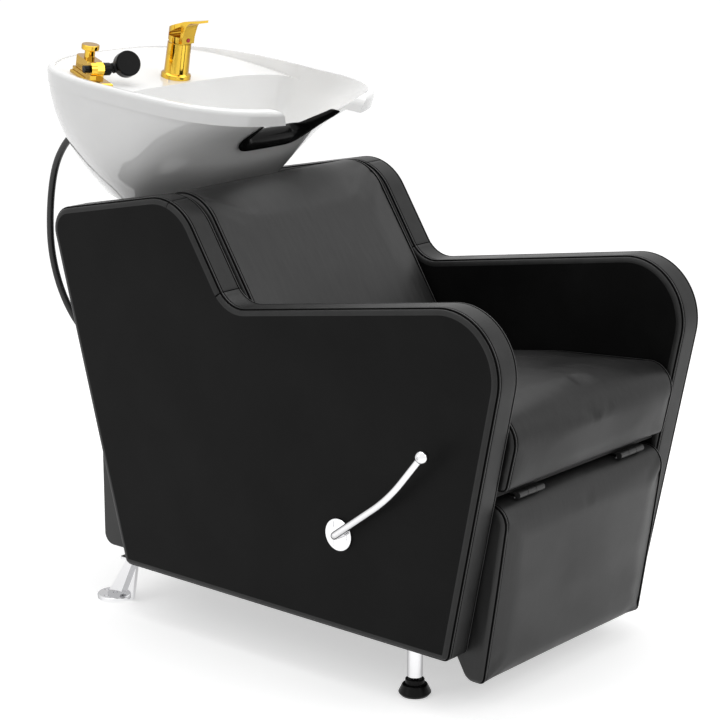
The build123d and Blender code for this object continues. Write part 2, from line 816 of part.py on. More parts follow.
def make_frame():
    """Crossbars, the post that carries the basin, and its fork."""
    keep("front_crossbar", crossbar(front_bar_y))
    keep("rear_crossbar", crossbar(post_y))
    half = post_side / 2
    bottom = head_plate_top_z - head_plate_thick
    tube = box_between(-half, half, post_y - half, post_y + half, post_bottom_z, bottom)
    half -= post_wall
    tube -= box_between(-half, half, post_y - half, post_y + half, post_bottom_z - overrun, bottom + overrun)
    reach = fork_half_gap + fork_thick
    tube += box_between(-reach, reach, fork_foot_front_y, fork_foot_rear_y, bottom, head_plate_top_z)
    slot = waste_slot / 2
    tube -= box_between(-slot, slot, waste_slot_front_y, overrun + fork_foot_rear_y, bottom - overrun,
                        head_plate_top_z + overrun)
    keep("basin_post", tube)
    plan = outline([
        (fork_foot_front_y, head_plate_top_z, 0),
        (fork_foot_rear_y, head_plate_top_z, 0),
        (pivot_y + fork_eye_r, pivot_z, 0),
        (pivot_y, pivot_z + fork_eye_r, 0),
    ])
    plan += Pos(pivot_y, pivot_z) * Circle(fork_eye_r)
    plan -= Pos(pivot_y, pivot_z) * Circle(pivot_r)
    keep("fork_plates", *both_sides(slab(plan, fork_half_gap, reach)))
    lug_in = fork_half_gap - slide_gap - lug_thick
    end = reach + pivot_head_thick
    pin = cross_pin(pivot_r, pivot_y, pivot_z, lug_in, end)
    pin += cross_pin(pivot_head_r, pivot_y, pivot_z, reach, end)
    keep("pivot_bolts", *both_sides(pin))


def make_cover():
    """Pressed casing that closes the back between the side walls, open to the front and top."""
    lip_y = post_y + crossbar_width / 2
    half = half_inner - cover_side_gap
    wall = cover_wall
    shell = slab(outline([
        (lip_y, cover_bottom_z, 0),
        (cover_rear_y, cover_bottom_z, cover_corner_r),
        (cover_rear_y, cover_top_z, 0),
        (lip_y, cover_top_z, 0),
    ]), -half, half)
    hollow = slab(outline([
        (lip_y + wall, cover_bottom_z + wall, 0),
        (cover_rear_y - wall, cover_bottom_z + wall, cover_corner_r - wall),
        (cover_rear_y - wall, cover_top_z + overrun, 0),
        (lip_y + wall, cover_top_z + overrun, 0),
    ]), -half + wall, half - wall)
    lip_top = cover_bottom_z + cover_lip
    shell -= hollow
    shell -= box_between(-half_outer, half_outer, lip_y - overrun, cover_side_y, lip_top, cover_top_z + overrun)
    keep("rear_cover", shell)


def make_rear_feet():
    """Cast feet: a plate under the side wall, a raked strap with a web, and a drilled flange."""
    pad_z = floor_gap - foot_pad_thick
    pad = box_between(foot_x - foot_pad_x / 2, foot_x + foot_pad_x / 2, foot_pad_rear_y - foot_pad_y,
                      foot_pad_rear_y, pad_z, floor_gap)
    pad = fillet(pad.edges().filter_by(Axis.Z), foot_pad_thick)
    sole_rear = foot_sole_depth - foot_sole_front
    strap = slab(outline([
        (foot_head_y, pad_z, 0),
        (foot_head_y + foot_head_depth, pad_z, 0),
        (sole_rear, foot_flange_thick, 0),
        (sole_rear, 0, 0),
        (-foot_sole_front, 0, 0),
        (-foot_sole_front, foot_flange_thick, 0),
    ]), foot_x - foot_strap_width / 2, foot_x + foot_strap_width / 2)
    web = slab(outline([
        (-foot_sole_front - foot_web_reach, foot_flange_thick / 2, 0),
        (-foot_sole_front, foot_flange_thick / 2, 0),
        (foot_head_y + foot_head_depth, pad_z, 0),
        (foot_head_y, pad_z, 0),
    ]), foot_x - foot_web_thick / 2, foot_x + foot_web_thick / 2)
    flange = Pos(foot_x, 0, 0) * Cylinder(foot_flange_r, foot_flange_thick, align=up)
    flange = fillet(flange.faces().sort_by(Axis.Z)[-1].edges(), foot_flange_thick / 3)
    foot = pad + strap + web + flange
    for x, y in ((foot_hole_ring_r, 0), (0, foot_hole_ring_r), (-foot_hole_ring_r, 0)):
        foot -= Pos(foot_x + x, y, -overrun) * Cylinder(foot_hole_r, overrun * 2, align=up)
    left, right = both_sides(foot)
    keep("rear_foot_left", left)
    keep("rear_foot_right", right)


def make_front_legs():
    """Front legs: a plate and a tube on each side, over a screw-in glide."""
    plate_z = floor_gap - leg_pad_thick
    tube_z = glide_height + glide_collar_height + leg_gap
    centre = Pos(leg_x, front_bar_y, 0)
    plate = centre * Pos(0, 0, plate_z) * Box(leg_pad_side, leg_pad_side, leg_pad_thick, align=up)
    plate = fillet(plate.edges().filter_by(Axis.Z), leg_pad_thick)
    tube = centre * Pos(0, 0, tube_z) * Cylinder(leg_tube_r, plate_z - tube_z, align=up)
    bore_r = leg_tube_r - leg_tube_wall
    tube -= centre * Pos(0, 0, tube_z + leg_plug_height) * Cylinder(bore_r, plate_z - tube_z, align=up)
    thread = glide_stem_r + pin_gap
    tube -= centre * Pos(0, 0, tube_z - overrun) * Cylinder(thread, overrun * 2 + leg_plug_height, align=up)
    keep("front_legs", *both_sides(plate + tube))
    rings = [
        (glide_sole_r, 0, 0),
        (glide_r, glide_height / 4, glide_height / 8),
        (glide_r * glide_waist_share, glide_height, glide_height / 8),
        (glide_collar_r, glide_height, 0),
        (glide_collar_r, glide_height + glide_collar_height, glide_height / 8),
        (0, glide_height + glide_collar_height, 0),
        (0, 0, 0),
    ]
    bell = revolve(Plane.XZ * outline(rings), Axis.Z)
    stem = Cylinder(glide_stem_r, tube_z + glide_stem_length - glide_height, align=up)
    left, right = both_sides(centre * (bell + Pos(0, 0, glide_height) * stem))
    keep("glide_left", left)
    keep("glide_right", right)


def lens_section(width, front, rear, power, waist, depth, grow=0.0):
    """Closed curve of a basin section: a power curve, longer to one side of its waist."""
    points = []
    for count in range(section_count):
        angle = 2 * pi * count / section_count
        c = cos(angle)
        s = sin(angle)
        ray = (abs(c) ** power + abs(s) ** power) ** (-1 / power)
        reach = rear if s > 0 else front
        points.append((ray * c * (width + grow), waist + ray * s * (reach + grow), -depth))
    return Face(Wire(Spline(points, periodic=True)))


def outer_body(grow=0.0, first=0.0, last=0.0):
    """Outside of the basin below its rim band, grown all round."""
    sections = []
    tables = zip(outer_depth_shares, outer_width_shares, outer_front_shares, outer_rear_shares,
                 outer_power_shares)
    span = bowl_depth - rim_band
    for depth_share, width_share, front_share, rear_share, power in tables:
        depth = rim_band + span * depth_share
        if depth_share == 0:
            depth -= first
        if depth_share == 1:
            depth += last
        sections.append(lens_section(bowl_half_width * width_share - rim_step, bowl_front * front_share,
                                     bowl_rear * rear_share - rim_step, power, 0, depth, grow))
    return loft(sections)


def basin_body(grow=0.0):
    """Space inside the basin, from above the rim to its floor."""
    width = bowl_half_width - rim_side_wall
    front = bowl_front - rim_front_wall + basin_waist
    rear = basin_back - basin_waist
    sections = []
    tables = zip(basin_depth_shares, basin_width_shares, basin_front_shares, basin_rear_shares,
                 basin_power_shares)
    for depth_share, width_share, front_share, rear_share, power in tables:
        waist = basin_waist + (drain_back - basin_waist) * depth_share
        sections.append(lens_section(width * width_share, front * front_share, rear * rear_share,
                                     power, waist, basin_depth * depth_share, grow))
    return loft(sections)


def deck_plane_box(drop):
    """Everything above a plane that lies below the deck by the drop, behind the basin's waist."""
    reach = bowl_half_width + overrun
    tall = Box(reach * 2, bowl_rear * 2, bowl_depth, align=up)
    return Pos(0, faucet_back, -deck_drop) * Rot(deck_slope, 0, 0) * Pos(0, 0, -drop) * tall


def notch_outline():
    """Outline of the neck notch: a rounded hollow with steep sides that turn out to meet the rim."""
    far = bowl_half_width
    return outline([
        (-far, overrun, 0),
        (-far, 0, 0),
        (-notch_top_half, 0, notch_shoulder_r),
        (-notch_foot_half, -notch_drop, notch_foot_r),
        (notch_foot_half, -notch_drop, notch_foot_r),
        (notch_top_half, 0, notch_shoulder_r),
        (far, 0, 0),
        (far, overrun, 0),
    ])


def front_slab(face, y0, y1):
    """A front profile drawn in X and Z, run from y0 to y1."""
    placed = Pos(0, y0, 0) * (Plane.XZ * face)
    return extrude(placed, amount=y1 - y0, dir=(0, 1, 0))


def make_bowl():
    """Ceramic basin: rim band, body, water basin, faucet deck, hollow under the deck, neck notch."""
    band = loft([
        lens_section(bowl_half_width, bowl_front, bowl_rear, rim_power_share, 0, 0),
        lens_section(bowl_half_width * outer_width_shares[0], bowl_front * rim_tuck_share,
                     bowl_rear * outer_rear_shares[0], rim_power_share, 0, rim_band),
    ])
    band = fillet(band.faces().sort_by(Axis.Z)[-1].edges(), rim_outer_r)
    body = band + outer_body(first=rim_band / 3)
    opening = lens_section(bowl_half_width - rim_side_wall + rim_step / 2, bowl_front - rim_front_wall,
                           bowl_rear - rim_rear_wall, rim_power_share, 0, 0)
    recess = extrude(opening, amount=bowl_depth, dir=(0, 0, -1)) + extrude(opening, amount=overrun, dir=(0, 0, 1))
    recess &= deck_plane_box(0)
    reach = bowl_half_width + overrun
    recess &= box_between(-reach, reach, basin_waist, bowl_rear + overrun, -bowl_depth, overrun)
    body -= basin_body()
    body -= recess
    hollow = outer_body(grow=-skirt_wall, first=rim_band / 3, last=overrun)
    hollow &= box_between(-reach, reach, basin_back + pocket_wall, bowl_rear + overrun,
                          -bowl_depth - overrun * 2, 0)
    hollow -= deck_plane_box(deck_thick)
    body -= hollow
    window = outline([
        (window_x - window_width / 2, -window_drop - window_height / 2, window_r),
        (window_x + window_width / 2, -window_drop - window_height / 2, window_r),
        (window_x + window_width / 2, -window_drop + window_height / 2, window_r),
        (window_x - window_width / 2, -window_drop + window_height / 2, window_r),
    ])
    body -= front_slab(window, basin_back * 2 + pocket_wall, bowl_rear + overrun)
    body -= front_slab(notch_outline(), -bowl_front - overrun, notch_length - bowl_front)
    body -= Pos(0, drain_back, -bowl_depth - overrun) * Cylinder(drain_hole_r, bowl_depth, align=up)
    body = bowl_frame * body
    body -= deck_frame * Cylinder(faucet_shank_r + pin_gap, faucet_shank_length, align=middle)
    shank = guide_frame * Pos(0, guide_shift, 0)
    body -= shank * Cylinder(guide_shank_r + pin_gap, guide_shank_length * 2, align=middle)
    keep("wash_basin", body)


def make_neck_rest():
    """Moulded neck rest: a saddle over the notch with an apron down the front of the basin."""
    half = neck_half_width
    saddle_z = neck_thick - notch_drop
    top_end = saddle_z + neck_saddle_r - neck_saddle_r * cos(asin(half / neck_saddle_r))
    low = -notch_drop - neck_apron_drop
    low_end = low + neck_apron_r - neck_apron_r * cos(asin(half / neck_apron_r))
    top = ThreePointArc((-half, top_end), (0, saddle_z), (half, top_end))
    foot = ThreePointArc((half, low_end), (0, low), (-half, low_end))
    sides = [Line((half, top_end), (half, low_end)), Line((-half, low_end), (-half, top_end))]
    face = make_face([top, sides[0], foot, sides[1]])
    for x in (-half, half):
        corner = face.vertices().sort_by_distance((x, low_end, 0))[0]
        face = fillet(corner, neck_corner_r)
    block = front_slab(face, -bowl_front, neck_back)
    saddle = block & outer_body(grow=neck_apron_thick, first=rim_band / 3)
    below = Pos(0, -bowl_depth) * Rectangle(bowl_half_width * 2, bowl_depth + overrun, align=(Align.CENTER, Align.MIN))
    under = front_slab(below - offset(notch_outline(), amount=-seat_gap), -bowl_front - overrun, 0)
    wall = outer_body(grow=seat_gap * 2, first=rim_band / 3) - basin_body(grow=-seat_gap)
    saddle -= wall & under
    saddle -= basin_body(grow=-neck_apron_thick) & under
    keep("neck_rest", bowl_frame * saddle)


def make_cradle():
    """Plate and lugs that carry the basin on the fork, with a gasket under the ceramic."""
    plan = outline([
        (-cradle_half_width, cradle_front, cradle_corner_r),
        (cradle_half_width, cradle_front, cradle_corner_r),
        (cradle_half_width, cradle_back, cradle_corner_r),
        (-cradle_half_width, cradle_back, cradle_corner_r),
    ])
    plan -= Pos(0, drain_back) * Circle(cradle_hole_r)
    gasket_low = -bowl_depth - cradle_gasket
    keep("cradle_gasket", bowl_frame * Pos(0, 0, gasket_low) * extrude(plan, amount=cradle_gasket))
    plate = bowl_frame * Pos(0, 0, gasket_low - cradle_thick) * extrude(plan, amount=cradle_thick)
    feet = []
    for back in (lug_foot_front, lug_foot_back):
        foot = (bowl_frame * Pos(0, back, gasket_low - cradle_thick)).position
        feet.append(Vector(foot.Y, foot.Z))
    eye = Vector(pivot_y, pivot_z)
    side = Vector(fork_eye_r, 0)
    lug = outline([(p.X, p.Y, 0) for p in (feet[0], feet[1], eye + side, eye - side)])
    lug += Pos(eye.X, eye.Y) * Circle(fork_eye_r)
    lug -= Pos(eye.X, eye.Y) * Circle(pivot_r + pin_gap)
    outer = fork_half_gap - slide_gap
    lugs = both_sides(slab(lug, outer - lug_thick, outer))
    keep("basin_cradle", plate + lugs[0] + lugs[1])


def make_drain():
    """Drain flange and shank through the basin floor, washer, nut and tailpiece."""
    top = bowl_frame * Pos(0, drain_back, -basin_depth)
    flange = Cylinder(drain_flange_r, drain_flange_thick, align=up)
    flange = fillet(flange.faces().sort_by(Axis.Z)[-1].edges(), drain_flange_thick / 2)
    shank = Pos(0, 0, drain_flange_thick) * Cylinder(drain_shank_r, drain_shank_length, align=down)
    body = flange + shank
    bore = Cylinder(tail_neck_r + pin_gap, drain_shank_length * 2, align=down)
    body -= Pos(0, 0, drain_flange_thick - strainer_thick) * bore
    for count in range(strainer_hole_count):
        turn = Rot(0, 0, 360 * count / strainer_hole_count)
        body -= turn * Pos(strainer_ring_r, 0, 0) * Cylinder(strainer_hole_r, drain_flange_thick * 3, align=middle)
    body -= Cylinder(strainer_hole_r, drain_flange_thick * 3, align=middle)
    keep("drain_strainer", top * body)
    under = top * Pos(0, 0, -bowl_base)
    ring = Cylinder(drain_nut_r, drain_washer_thick, align=down)
    ring -= Cylinder(drain_shank_r + pin_gap, drain_shank_length, align=middle)
    keep("drain_washer", under * ring)
    nut_plan = RegularPolygon(drain_nut_r, drain_nut_sides) - Circle(drain_shank_r + pin_gap)
    nut_low = -drain_washer_thick - drain_nut_thick
    keep("drain_nut", under * Pos(0, 0, nut_low) * extrude(nut_plan, amount=drain_nut_thick))
    shank_end = drain_flange_thick - drain_shank_length
    tail = Cylinder(tail_neck_r, tail_length, align=down)
    tail += Pos(0, 0, tail_outlet - tail_length) * Cylinder(tail_r, tail_outlet, align=down)
    tail -= Cylinder(tail_r - tail_wall, tail_length * 3, align=middle)
    keep("drain_tailpiece", top * Pos(0, 0, shank_end + tail_in_shank) * tail)
    slip_plan = RegularPolygon(slip_nut_r, drain_nut_sides) - Circle(tail_neck_r + pin_gap)
    keep("drain_slip_nut", top * Pos(0, 0, shank_end) * extrude(slip_plan, amount=-slip_nut_thick))


def make_faucet():
    """Mixer body on the deck, its stem and lifting handle, and the inlets below."""
    rings = [
        (0, 0, 0),
        (faucet_base_r, 0, 0),
        (faucet_base_r, faucet_base_height, faucet_base_round),
        (faucet_body_r, faucet_base_height + faucet_base_round, 0),
        (faucet_top_r, faucet_body_height - faucet_groove, 0),
        (faucet_top_r - faucet_groove, faucet_body_height - faucet_groove, 0),
        (faucet_top_r - faucet_groove, faucet_body_height, 0),
        (0, faucet_body_height, 0),
    ]
    body = revolve(Plane.XZ * outline(rings), Axis.Z)
    body += Cylinder(faucet_shank_r, faucet_shank_length, align=down)
    socket = Pos(0, 0, faucet_body_height - stem_socket)
    body -= socket * Cylinder(stem_r + pin_gap, stem_socket * 2, align=up)
    keep("faucet_body", deck_frame * body)
    nut = extrude(RegularPolygon(faucet_nut_r, drain_nut_sides) - Circle(faucet_shank_r + pin_gap),
                  amount=-faucet_nut_thick)
    keep("faucet_nut", deck_frame * Pos(0, 0, -deck_thick) * nut)
    pipe = Cylinder(inlet_r, inlet_length, align=down)
    low = Pos(0, 0, -faucet_shank_length)
    pipes = [deck_frame * low * Pos(x, -inlet_front, 0) * pipe for x in (-inlet_spread, inlet_spread)]
    keep("faucet_inlets", *pipes)
    top = deck_frame * Pos(0, 0, faucet_body_height)
    stem = Pos(0, 0, -stem_socket) * Cylinder(stem_r, stem_socket + stem_height, align=up)
    stem += Cylinder(stem_foot_r, stem_foot_height, align=up)
    lift_axis = Pos(0, 0, lift_axis_height)
    lift_bore = lift_axis * across * Cylinder(lift_pin_r + pin_gap, handle_cap_r * 4, align=middle)
    keep("faucet_stem", top * (stem - lift_bore))
    pin = lift_axis * across * Cylinder(lift_pin_r, lift_pin_reach * 2, align=middle)
    keep("faucet_handle", top * (make_handle() - pin))
    keep("faucet_lift_pin", top * pin)
    face_y = -handle_front * handle_face_share
    dot = Plane(origin=(0, face_y, index_height), x_dir=(1, 0, 0), z_dir=(0, -1, 0))
    keep("handle_index", top * (dot * Cylinder(index_r, index_thick, align=up)))


def make_handle():
    """Lever handle: a cap bevelled at the back, rising to a forward-curving grip over an opening."""
    back = handle_cap_r
    front = handle_front
    profile = outline([
        (back, handle_gap, 0),
        (back, handle_back_rise, handle_back_round),
        (-front, handle_brow, handle_brow_round),
        (-handle_reach, handle_rise, 0),
        (-handle_reach, handle_rise - handle_thick, 0),
        (-front - handle_throat, handle_rise - handle_thick - handle_throat, handle_throat_round),
        (-front, handle_chin, handle_thick),
        (-front, handle_gap, 0),
    ])
    opening = outline([
        (back - handle_frame, handle_window_foot, handle_window_round),
        (-front + handle_frame, handle_window_foot, handle_window_round),
        (-front + handle_frame, handle_brow - handle_frame * 2, handle_window_round),
    ])
    solid = slab(profile - opening, -handle_cap_r, handle_cap_r)
    plan = Circle(handle_cap_r) + make_face(Polyline([
        (-handle_cap_r * handle_taper_share, -front / 2),
        (-handle_width / 2, -handle_reach - overrun),
        (handle_width / 2, -handle_reach - overrun),
        (handle_cap_r * handle_taper_share, -front / 2),
    ], close=True))
    solid &= extrude(plan, amount=handle_rise * 2)
    slope = tan(radians(handle_lift + lift_margin))
    far = handle_cap_r + overrun
    solid -= slab(outline([(0, 0, 0), (far, 0, 0), (far, far * slope, 0)]), -far, far)
    return solid - Cylinder(handle_pocket_r, handle_pocket_depth * 2, align=middle)


def make_guide():
    """Hose guide with its vacuum breaker: foot plate, stepped block, column with cap, outlet."""
    plate = Box(guide_plate_x, guide_plate_y, guide_plate_thick, align=up)
    plate = chamfer(plate.faces().sort_by(Axis.Z)[-1].edges(), guide_plate_thick / 3)
    step = Pos(0, guide_shift, guide_plate_thick) * Box(guide_step_x, guide_step_y, guide_step_height, align=up)
    block_z = guide_plate_thick + guide_step_height
    block = Pos(0, guide_shift, block_z) * Box(guide_block_x, guide_block_y, guide_block_height, align=up)
    block = chamfer(block.edges().filter_by(Axis.Z), guide_block_x / 5)
    column_z = block_z + guide_block_height
    column = Pos(0, guide_shift, column_z) * Cylinder(guide_column_r, guide_column_height, align=up)
    boss_y = -guide_outlet_shift
    nut_x = guide_mouth_x - guide_nut_length
    boss_x = -guide_plate_x / 2
    boss = Pos(boss_x, boss_y, guide_axis_height) * across * Cylinder(guide_nut_r, nut_x - boss_x, align=up)
    boss_foot = box_between(boss_x, nut_x, boss_y - guide_nut_r / 2, boss_y + guide_nut_r,
                            guide_plate_thick, guide_axis_height)
    bridge = box_between(boss_x / 2, nut_x, boss_y, guide_shift, guide_plate_thick, guide_axis_height)
    shank = Pos(0, guide_shift, 0) * Cylinder(guide_shank_r, guide_shank_length, align=down)
    body = plate + step + block + column + boss + boss_foot + bridge + shank
    bore_x = guide_mouth_x - sprayer_stub
    bore = Pos(bore_x, boss_y, guide_axis_height) * across
    bore *= Cylinder(hose_r + outlet_gap, sprayer_stub * 2, align=up)
    body -= bore
    keep("hose_guide", guide_frame * body)
    cap = Cylinder(guide_cap_r, guide_cap_thick, align=up)
    cap = fillet(cap.edges().filter_by(GeomType.CIRCLE), guide_cap_thick / 6)
    cap -= Cylinder(guide_cap_r * guide_cap_well_share, guide_cap_thick / 3, align=up)
    keep("breaker_cap", guide_frame * Pos(0, guide_shift, column_z + guide_column_height) * cap)
    nut = extrude(RegularPolygon(guide_nut_r, drain_nut_sides), amount=guide_nut_length)
    nut_frame = Pos(nut_x, boss_y, guide_axis_height) * across
    nut -= Cylinder(hose_r + outlet_gap, guide_nut_length * 3, align=middle)
    keep("guide_outlet_nut", guide_frame * nut_frame * nut)
    under = guide_frame * Pos(0, guide_shift, -deck_thick)
    ring = extrude(RegularPolygon(guide_shank_nut_r, drain_nut_sides) - Circle(guide_shank_r + pin_gap),
                   amount=-guide_shank_nut_thick)
    keep("guide_shank_nut", under * ring)


def make_sprayer():
    """Pull-out sprayer: the hose stub in the outlet, a collar, a neck and a round spray head."""
    mouth = guide_frame * Pos(guide_mouth_x + outlet_gap, -guide_outlet_shift, guide_axis_height) * across
    stub = Cylinder(hose_r, sprayer_stub, align=down)
    collar = Cylinder(sprayer_collar_r, sprayer_collar_length, align=up)
    collar = fillet(collar.edges().filter_by(GeomType.CIRCLE), sprayer_collar_r / 6)
    keep("sprayer_collar", mouth * (stub + collar))
    neck_frame = mouth * Pos(0, 0, sprayer_collar_length) * Rot(0, -sprayer_rise, 0)
    reach = sprayer_neck_length + sprayer_head_r
    neck = Cylinder(sprayer_neck_r, reach - sprayer_head_r / 2, align=up)
    rib = Pos(0, 0, sprayer_neck_length / 2) * Cylinder(sprayer_neck_rib_r, sprayer_neck_rib, align=up)
    centre = (neck_frame * Pos(0, 0, reach)).position
    facing = Vector(sprayer_face_x, sprayer_face_y, sprayer_face_z).normalized()
    head_frame = Plane(origin=centre, x_dir=facing.cross(Vector(0, 0, 1)), z_dir=facing)
    half = sprayer_head_thick / 2
    head = head_frame * Pos(0, 0, -half) * fillet(
        Cylinder(sprayer_head_r, sprayer_head_thick, align=up).edges().filter_by(GeomType.CIRCLE),
        sprayer_head_round)
    well = head_frame * Pos(0, 0, half - sprayer_face_thick) * Cylinder(sprayer_face_r + pin_gap,
                                                                        sprayer_head_thick, align=up)
    skirt = neck_frame * (neck + rib)
    collar_cut = mouth * Cylinder(sprayer_collar_r * 2, sprayer_collar_length, align=up)
    keep("sprayer_head", (skirt - collar_cut) + head - well)
    face = Cylinder(sprayer_face_r, sprayer_face_thick - sprayer_face_sink, align=up)
    for radius, count in sprayer_rings:
        for number in range(count):
            turn = Rot(0, 0, 360 * number / count)
            face -= turn * Pos(sprayer_face_r * radius, 0, 0) * Cylinder(nozzle_r, sprayer_head_thick, align=middle)
    keep("sprayer_face", head_frame * Pos(0, 0, half - sprayer_face_thick) * face)


def hose_points():
    """The hose's whole route, from the guide's shank round to the mixer's shank."""
    start = guide_frame * Pos(0, guide_shift, -guide_shank_length)
    end = deck_frame * Pos(0, hose_back, -faucet_shank_length)
    first = start * Pos(0, 0, -hose_end_run)
    last = end * Pos(0, 0, -hose_end_run)
    return [start.position, first.position, *[Vector(p) for p in hose_route], last.position, end.position]


def hose_radii(points):
    """Largest bend at each inner point that its two runs allow."""
    radii = []
    for before, here, after in zip(points, points[1:], points[2:]):
        arrive = here - before
        leave = after - here
        turn = radians(arrive.get_angle(leave))
        radii.append(hose_bend_share * min(arrive.length, leave.length) / tan(turn / 2))
    return radii


def make_hose():
    """Slack loop of the spray hose below the basin."""
    points = hose_points()
    radii = hose_radii(points)
    path = FilletPolyline(points, radius=radii)
    tube = sweep(Plane(origin=path @ 0, z_dir=path % 0) * Circle(hose_r), path=path)
    keep("shower_hose", tube)


make_side_panels()
make_seat()
make_back()
make_hinges()
make_horns(*make_legrest())
make_shaft(make_lever())
make_push_rods()
make_frame()
make_cover()
make_rear_feet()
make_front_legs()
make_bowl()
make_neck_rest()
make_cradle()
make_drain()
make_faucet()
make_guide()
make_sprayer()
make_hose()

os.makedirs("parts", exist_ok=True)
for node, solids in nodes.items():
    shape = solids[0] if len(solids) == 1 else Compound(children=solids)
    export_step(shape, f"parts/{node}.step")
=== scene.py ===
import json
import math

import bmesh
import bpy
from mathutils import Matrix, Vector, geometry, noise
from mathutils.bvhtree import BVHTree


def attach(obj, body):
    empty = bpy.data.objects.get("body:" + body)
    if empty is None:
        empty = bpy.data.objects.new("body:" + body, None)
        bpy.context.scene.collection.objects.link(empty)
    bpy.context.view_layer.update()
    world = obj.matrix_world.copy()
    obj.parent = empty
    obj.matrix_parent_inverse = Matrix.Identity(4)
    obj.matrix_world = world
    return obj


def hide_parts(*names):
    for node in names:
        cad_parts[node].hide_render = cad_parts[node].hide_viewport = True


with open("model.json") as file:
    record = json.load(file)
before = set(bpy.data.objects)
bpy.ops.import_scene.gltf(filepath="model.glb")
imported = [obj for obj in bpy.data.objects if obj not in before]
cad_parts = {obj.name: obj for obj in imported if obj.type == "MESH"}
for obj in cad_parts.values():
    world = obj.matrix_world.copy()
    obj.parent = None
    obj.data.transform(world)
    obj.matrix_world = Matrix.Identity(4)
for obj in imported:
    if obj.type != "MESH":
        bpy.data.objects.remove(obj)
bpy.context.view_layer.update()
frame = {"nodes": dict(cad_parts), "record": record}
scene = bpy.context.scene
scene.view_settings.view_transform = "Standard"
nodes = frame["nodes"]

MM_PER_M = 1000


def metres(numbers):
    """Millimetres as metres."""
    return tuple(number / MM_PER_M for number in numbers)


def linked(name, data):
    """A new object in the scene."""
    made = bpy.data.objects.new(name, data)
    scene.collection.objects.link(made)
    return made


# Camera at the photograph's view

CAMERA_PLACE = (-3.14094, -3.08276, 1.55456)
CAMERA_YAW = math.radians(49.64)
CAMERA_PITCH = math.radians(14.44)
LENS_MM = 115.0
SENSOR_MM = 36.0


def photo_camera():
    data = bpy.data.cameras.new("camera")
    data.lens = LENS_MM
    data.sensor_width = SENSOR_MM
    camera = linked("camera", data)
    camera.location = CAMERA_PLACE
    level = math.cos(CAMERA_PITCH)
    look = Vector((math.sin(CAMERA_YAW) * level, math.cos(CAMERA_YAW) * level, -math.sin(CAMERA_PITCH)))
    camera.rotation_mode = "QUATERNION"
    camera.rotation_quaternion = look.to_track_quat("-Z", "Y")
    scene.camera = camera


photo_camera()


# Loose hose below the basin, from the hose guide to the mixer, in millimetres

HOSE = [
    (-169.5, 122.8, 960.5), (-169.5, 129.0, 927.1), (-165.0, 150.0, 888.0), (-156.0, 203.0, 852.0),
    (-151.0, 240.0, 800.0), (-149.0, 259.0, 715.0), (-149.0, 259.0, 625.0), (-146.0, 230.0, 538.0),
    (-136.0, 178.0, 468.0), (-114.0, 112.0, 476.0), (-94.0, 86.0, 556.0), (-77.0, 96.0, 650.0),
    (-60.0, 114.0, 736.0), (-38.0, 124.0, 812.0), (-12.0, 106.0, 866.0), (0.0, 75.3, 900.9),
    (0.0, 69.1, 934.3),
]
HOSE_RADIUS = 0.007
HOSE_STEPS = 12
HOSE_SIDES = 6


def spray_hose():
    curve = bpy.data.curves.new("spray_hose", "CURVE")
    curve.dimensions = "3D"
    line = curve.splines.new("NURBS")
    line.points.add(len(HOSE) - 1)
    for point, place in zip(line.points, HOSE):
        point.co = (*metres(place), 1.0)
        point.radius = HOSE_RADIUS
    line.order_u = 3
    line.use_endpoint_u = True
    line.resolution_u = HOSE_STEPS
    # The points carry the radius, so the bevel itself is one
    curve.bevel_depth = 1.0
    curve.bevel_resolution = HOSE_SIDES
    curve.use_fill_caps = True
    return linked("spray_hose", curve)


hose = spray_hose()
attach(hose, "bowl")
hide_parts("shower_hose")


# Materials

def new_material(name, color, roughness, metallic=0.0, specular=0.5, coat=0.0):
    """A principled material, its node tree and its shader, to be finished by the caller."""
    material = bpy.data.materials.new(name)
    material.use_nodes = True
    shader = material.node_tree.nodes["Principled BSDF"]
    shader.inputs["Base Color"].default_value = (*color, 1.0)
    shader.inputs["Roughness"].default_value = roughness
    shader.inputs["Metallic"].default_value = metallic
    shader.inputs["Specular IOR Level"].default_value = specular
    shader.inputs["Coat Weight"].default_value = coat
    return material, material.node_tree, shader


def stretched(tree, scale=(1, 1, 1), turn=0.0):
    """Object coordinates, stretched, and turned about Z."""
    place = tree.nodes.new("ShaderNodeTexCoord")
    mapping = tree.nodes.new("ShaderNodeMapping")
    mapping.inputs["Scale"].default_value = scale
    mapping.inputs["Rotation"].default_value = (0, 0, turn)
    tree.links.new(place.outputs["Object"], mapping.inputs["Vector"])
    return mapping.outputs["Vector"]


def noise_node(tree, vector, scale, detail=4.0, rough=0.55):
    node = tree.nodes.new("ShaderNodeTexNoise")
    node.inputs["Scale"].default_value = scale
    node.inputs["Detail"].default_value = detail
    node.inputs["Roughness"].default_value = rough
    tree.links.new(vector, node.inputs["Vector"])
    return node.outputs["Fac"]


def cells(tree, vector, scale):
    """Distance to the nearest of many scattered cell centres."""
    node = tree.nodes.new("ShaderNodeTexVoronoi")
    node.inputs["Scale"].default_value = scale
    tree.links.new(vector, node.inputs["Vector"])
    return node.outputs["Distance"]


def spread(tree, value, low, high, start=0.3, end=0.7):
    """A texture value spread over a range."""
    node = tree.nodes.new("ShaderNodeMapRange")
    for name, number in (("From Min", start), ("From Max", end), ("To Min", low), ("To Max", high)):
        node.inputs[name].default_value = number
    tree.links.new(value, node.inputs["Value"])
    return node.outputs["Result"]


def tint(tree, value, dark, light, start=0.3, end=0.7):
    """A colour that follows a texture value."""
    node = tree.nodes.new("ShaderNodeValToRGB")
    first, last = node.color_ramp.elements
    first.position = start
    first.color = (*dark, 1.0)
    last.position = end
    last.color = (*light, 1.0)
    tree.links.new(value, node.inputs["Fac"])
    return node.outputs["Color"]


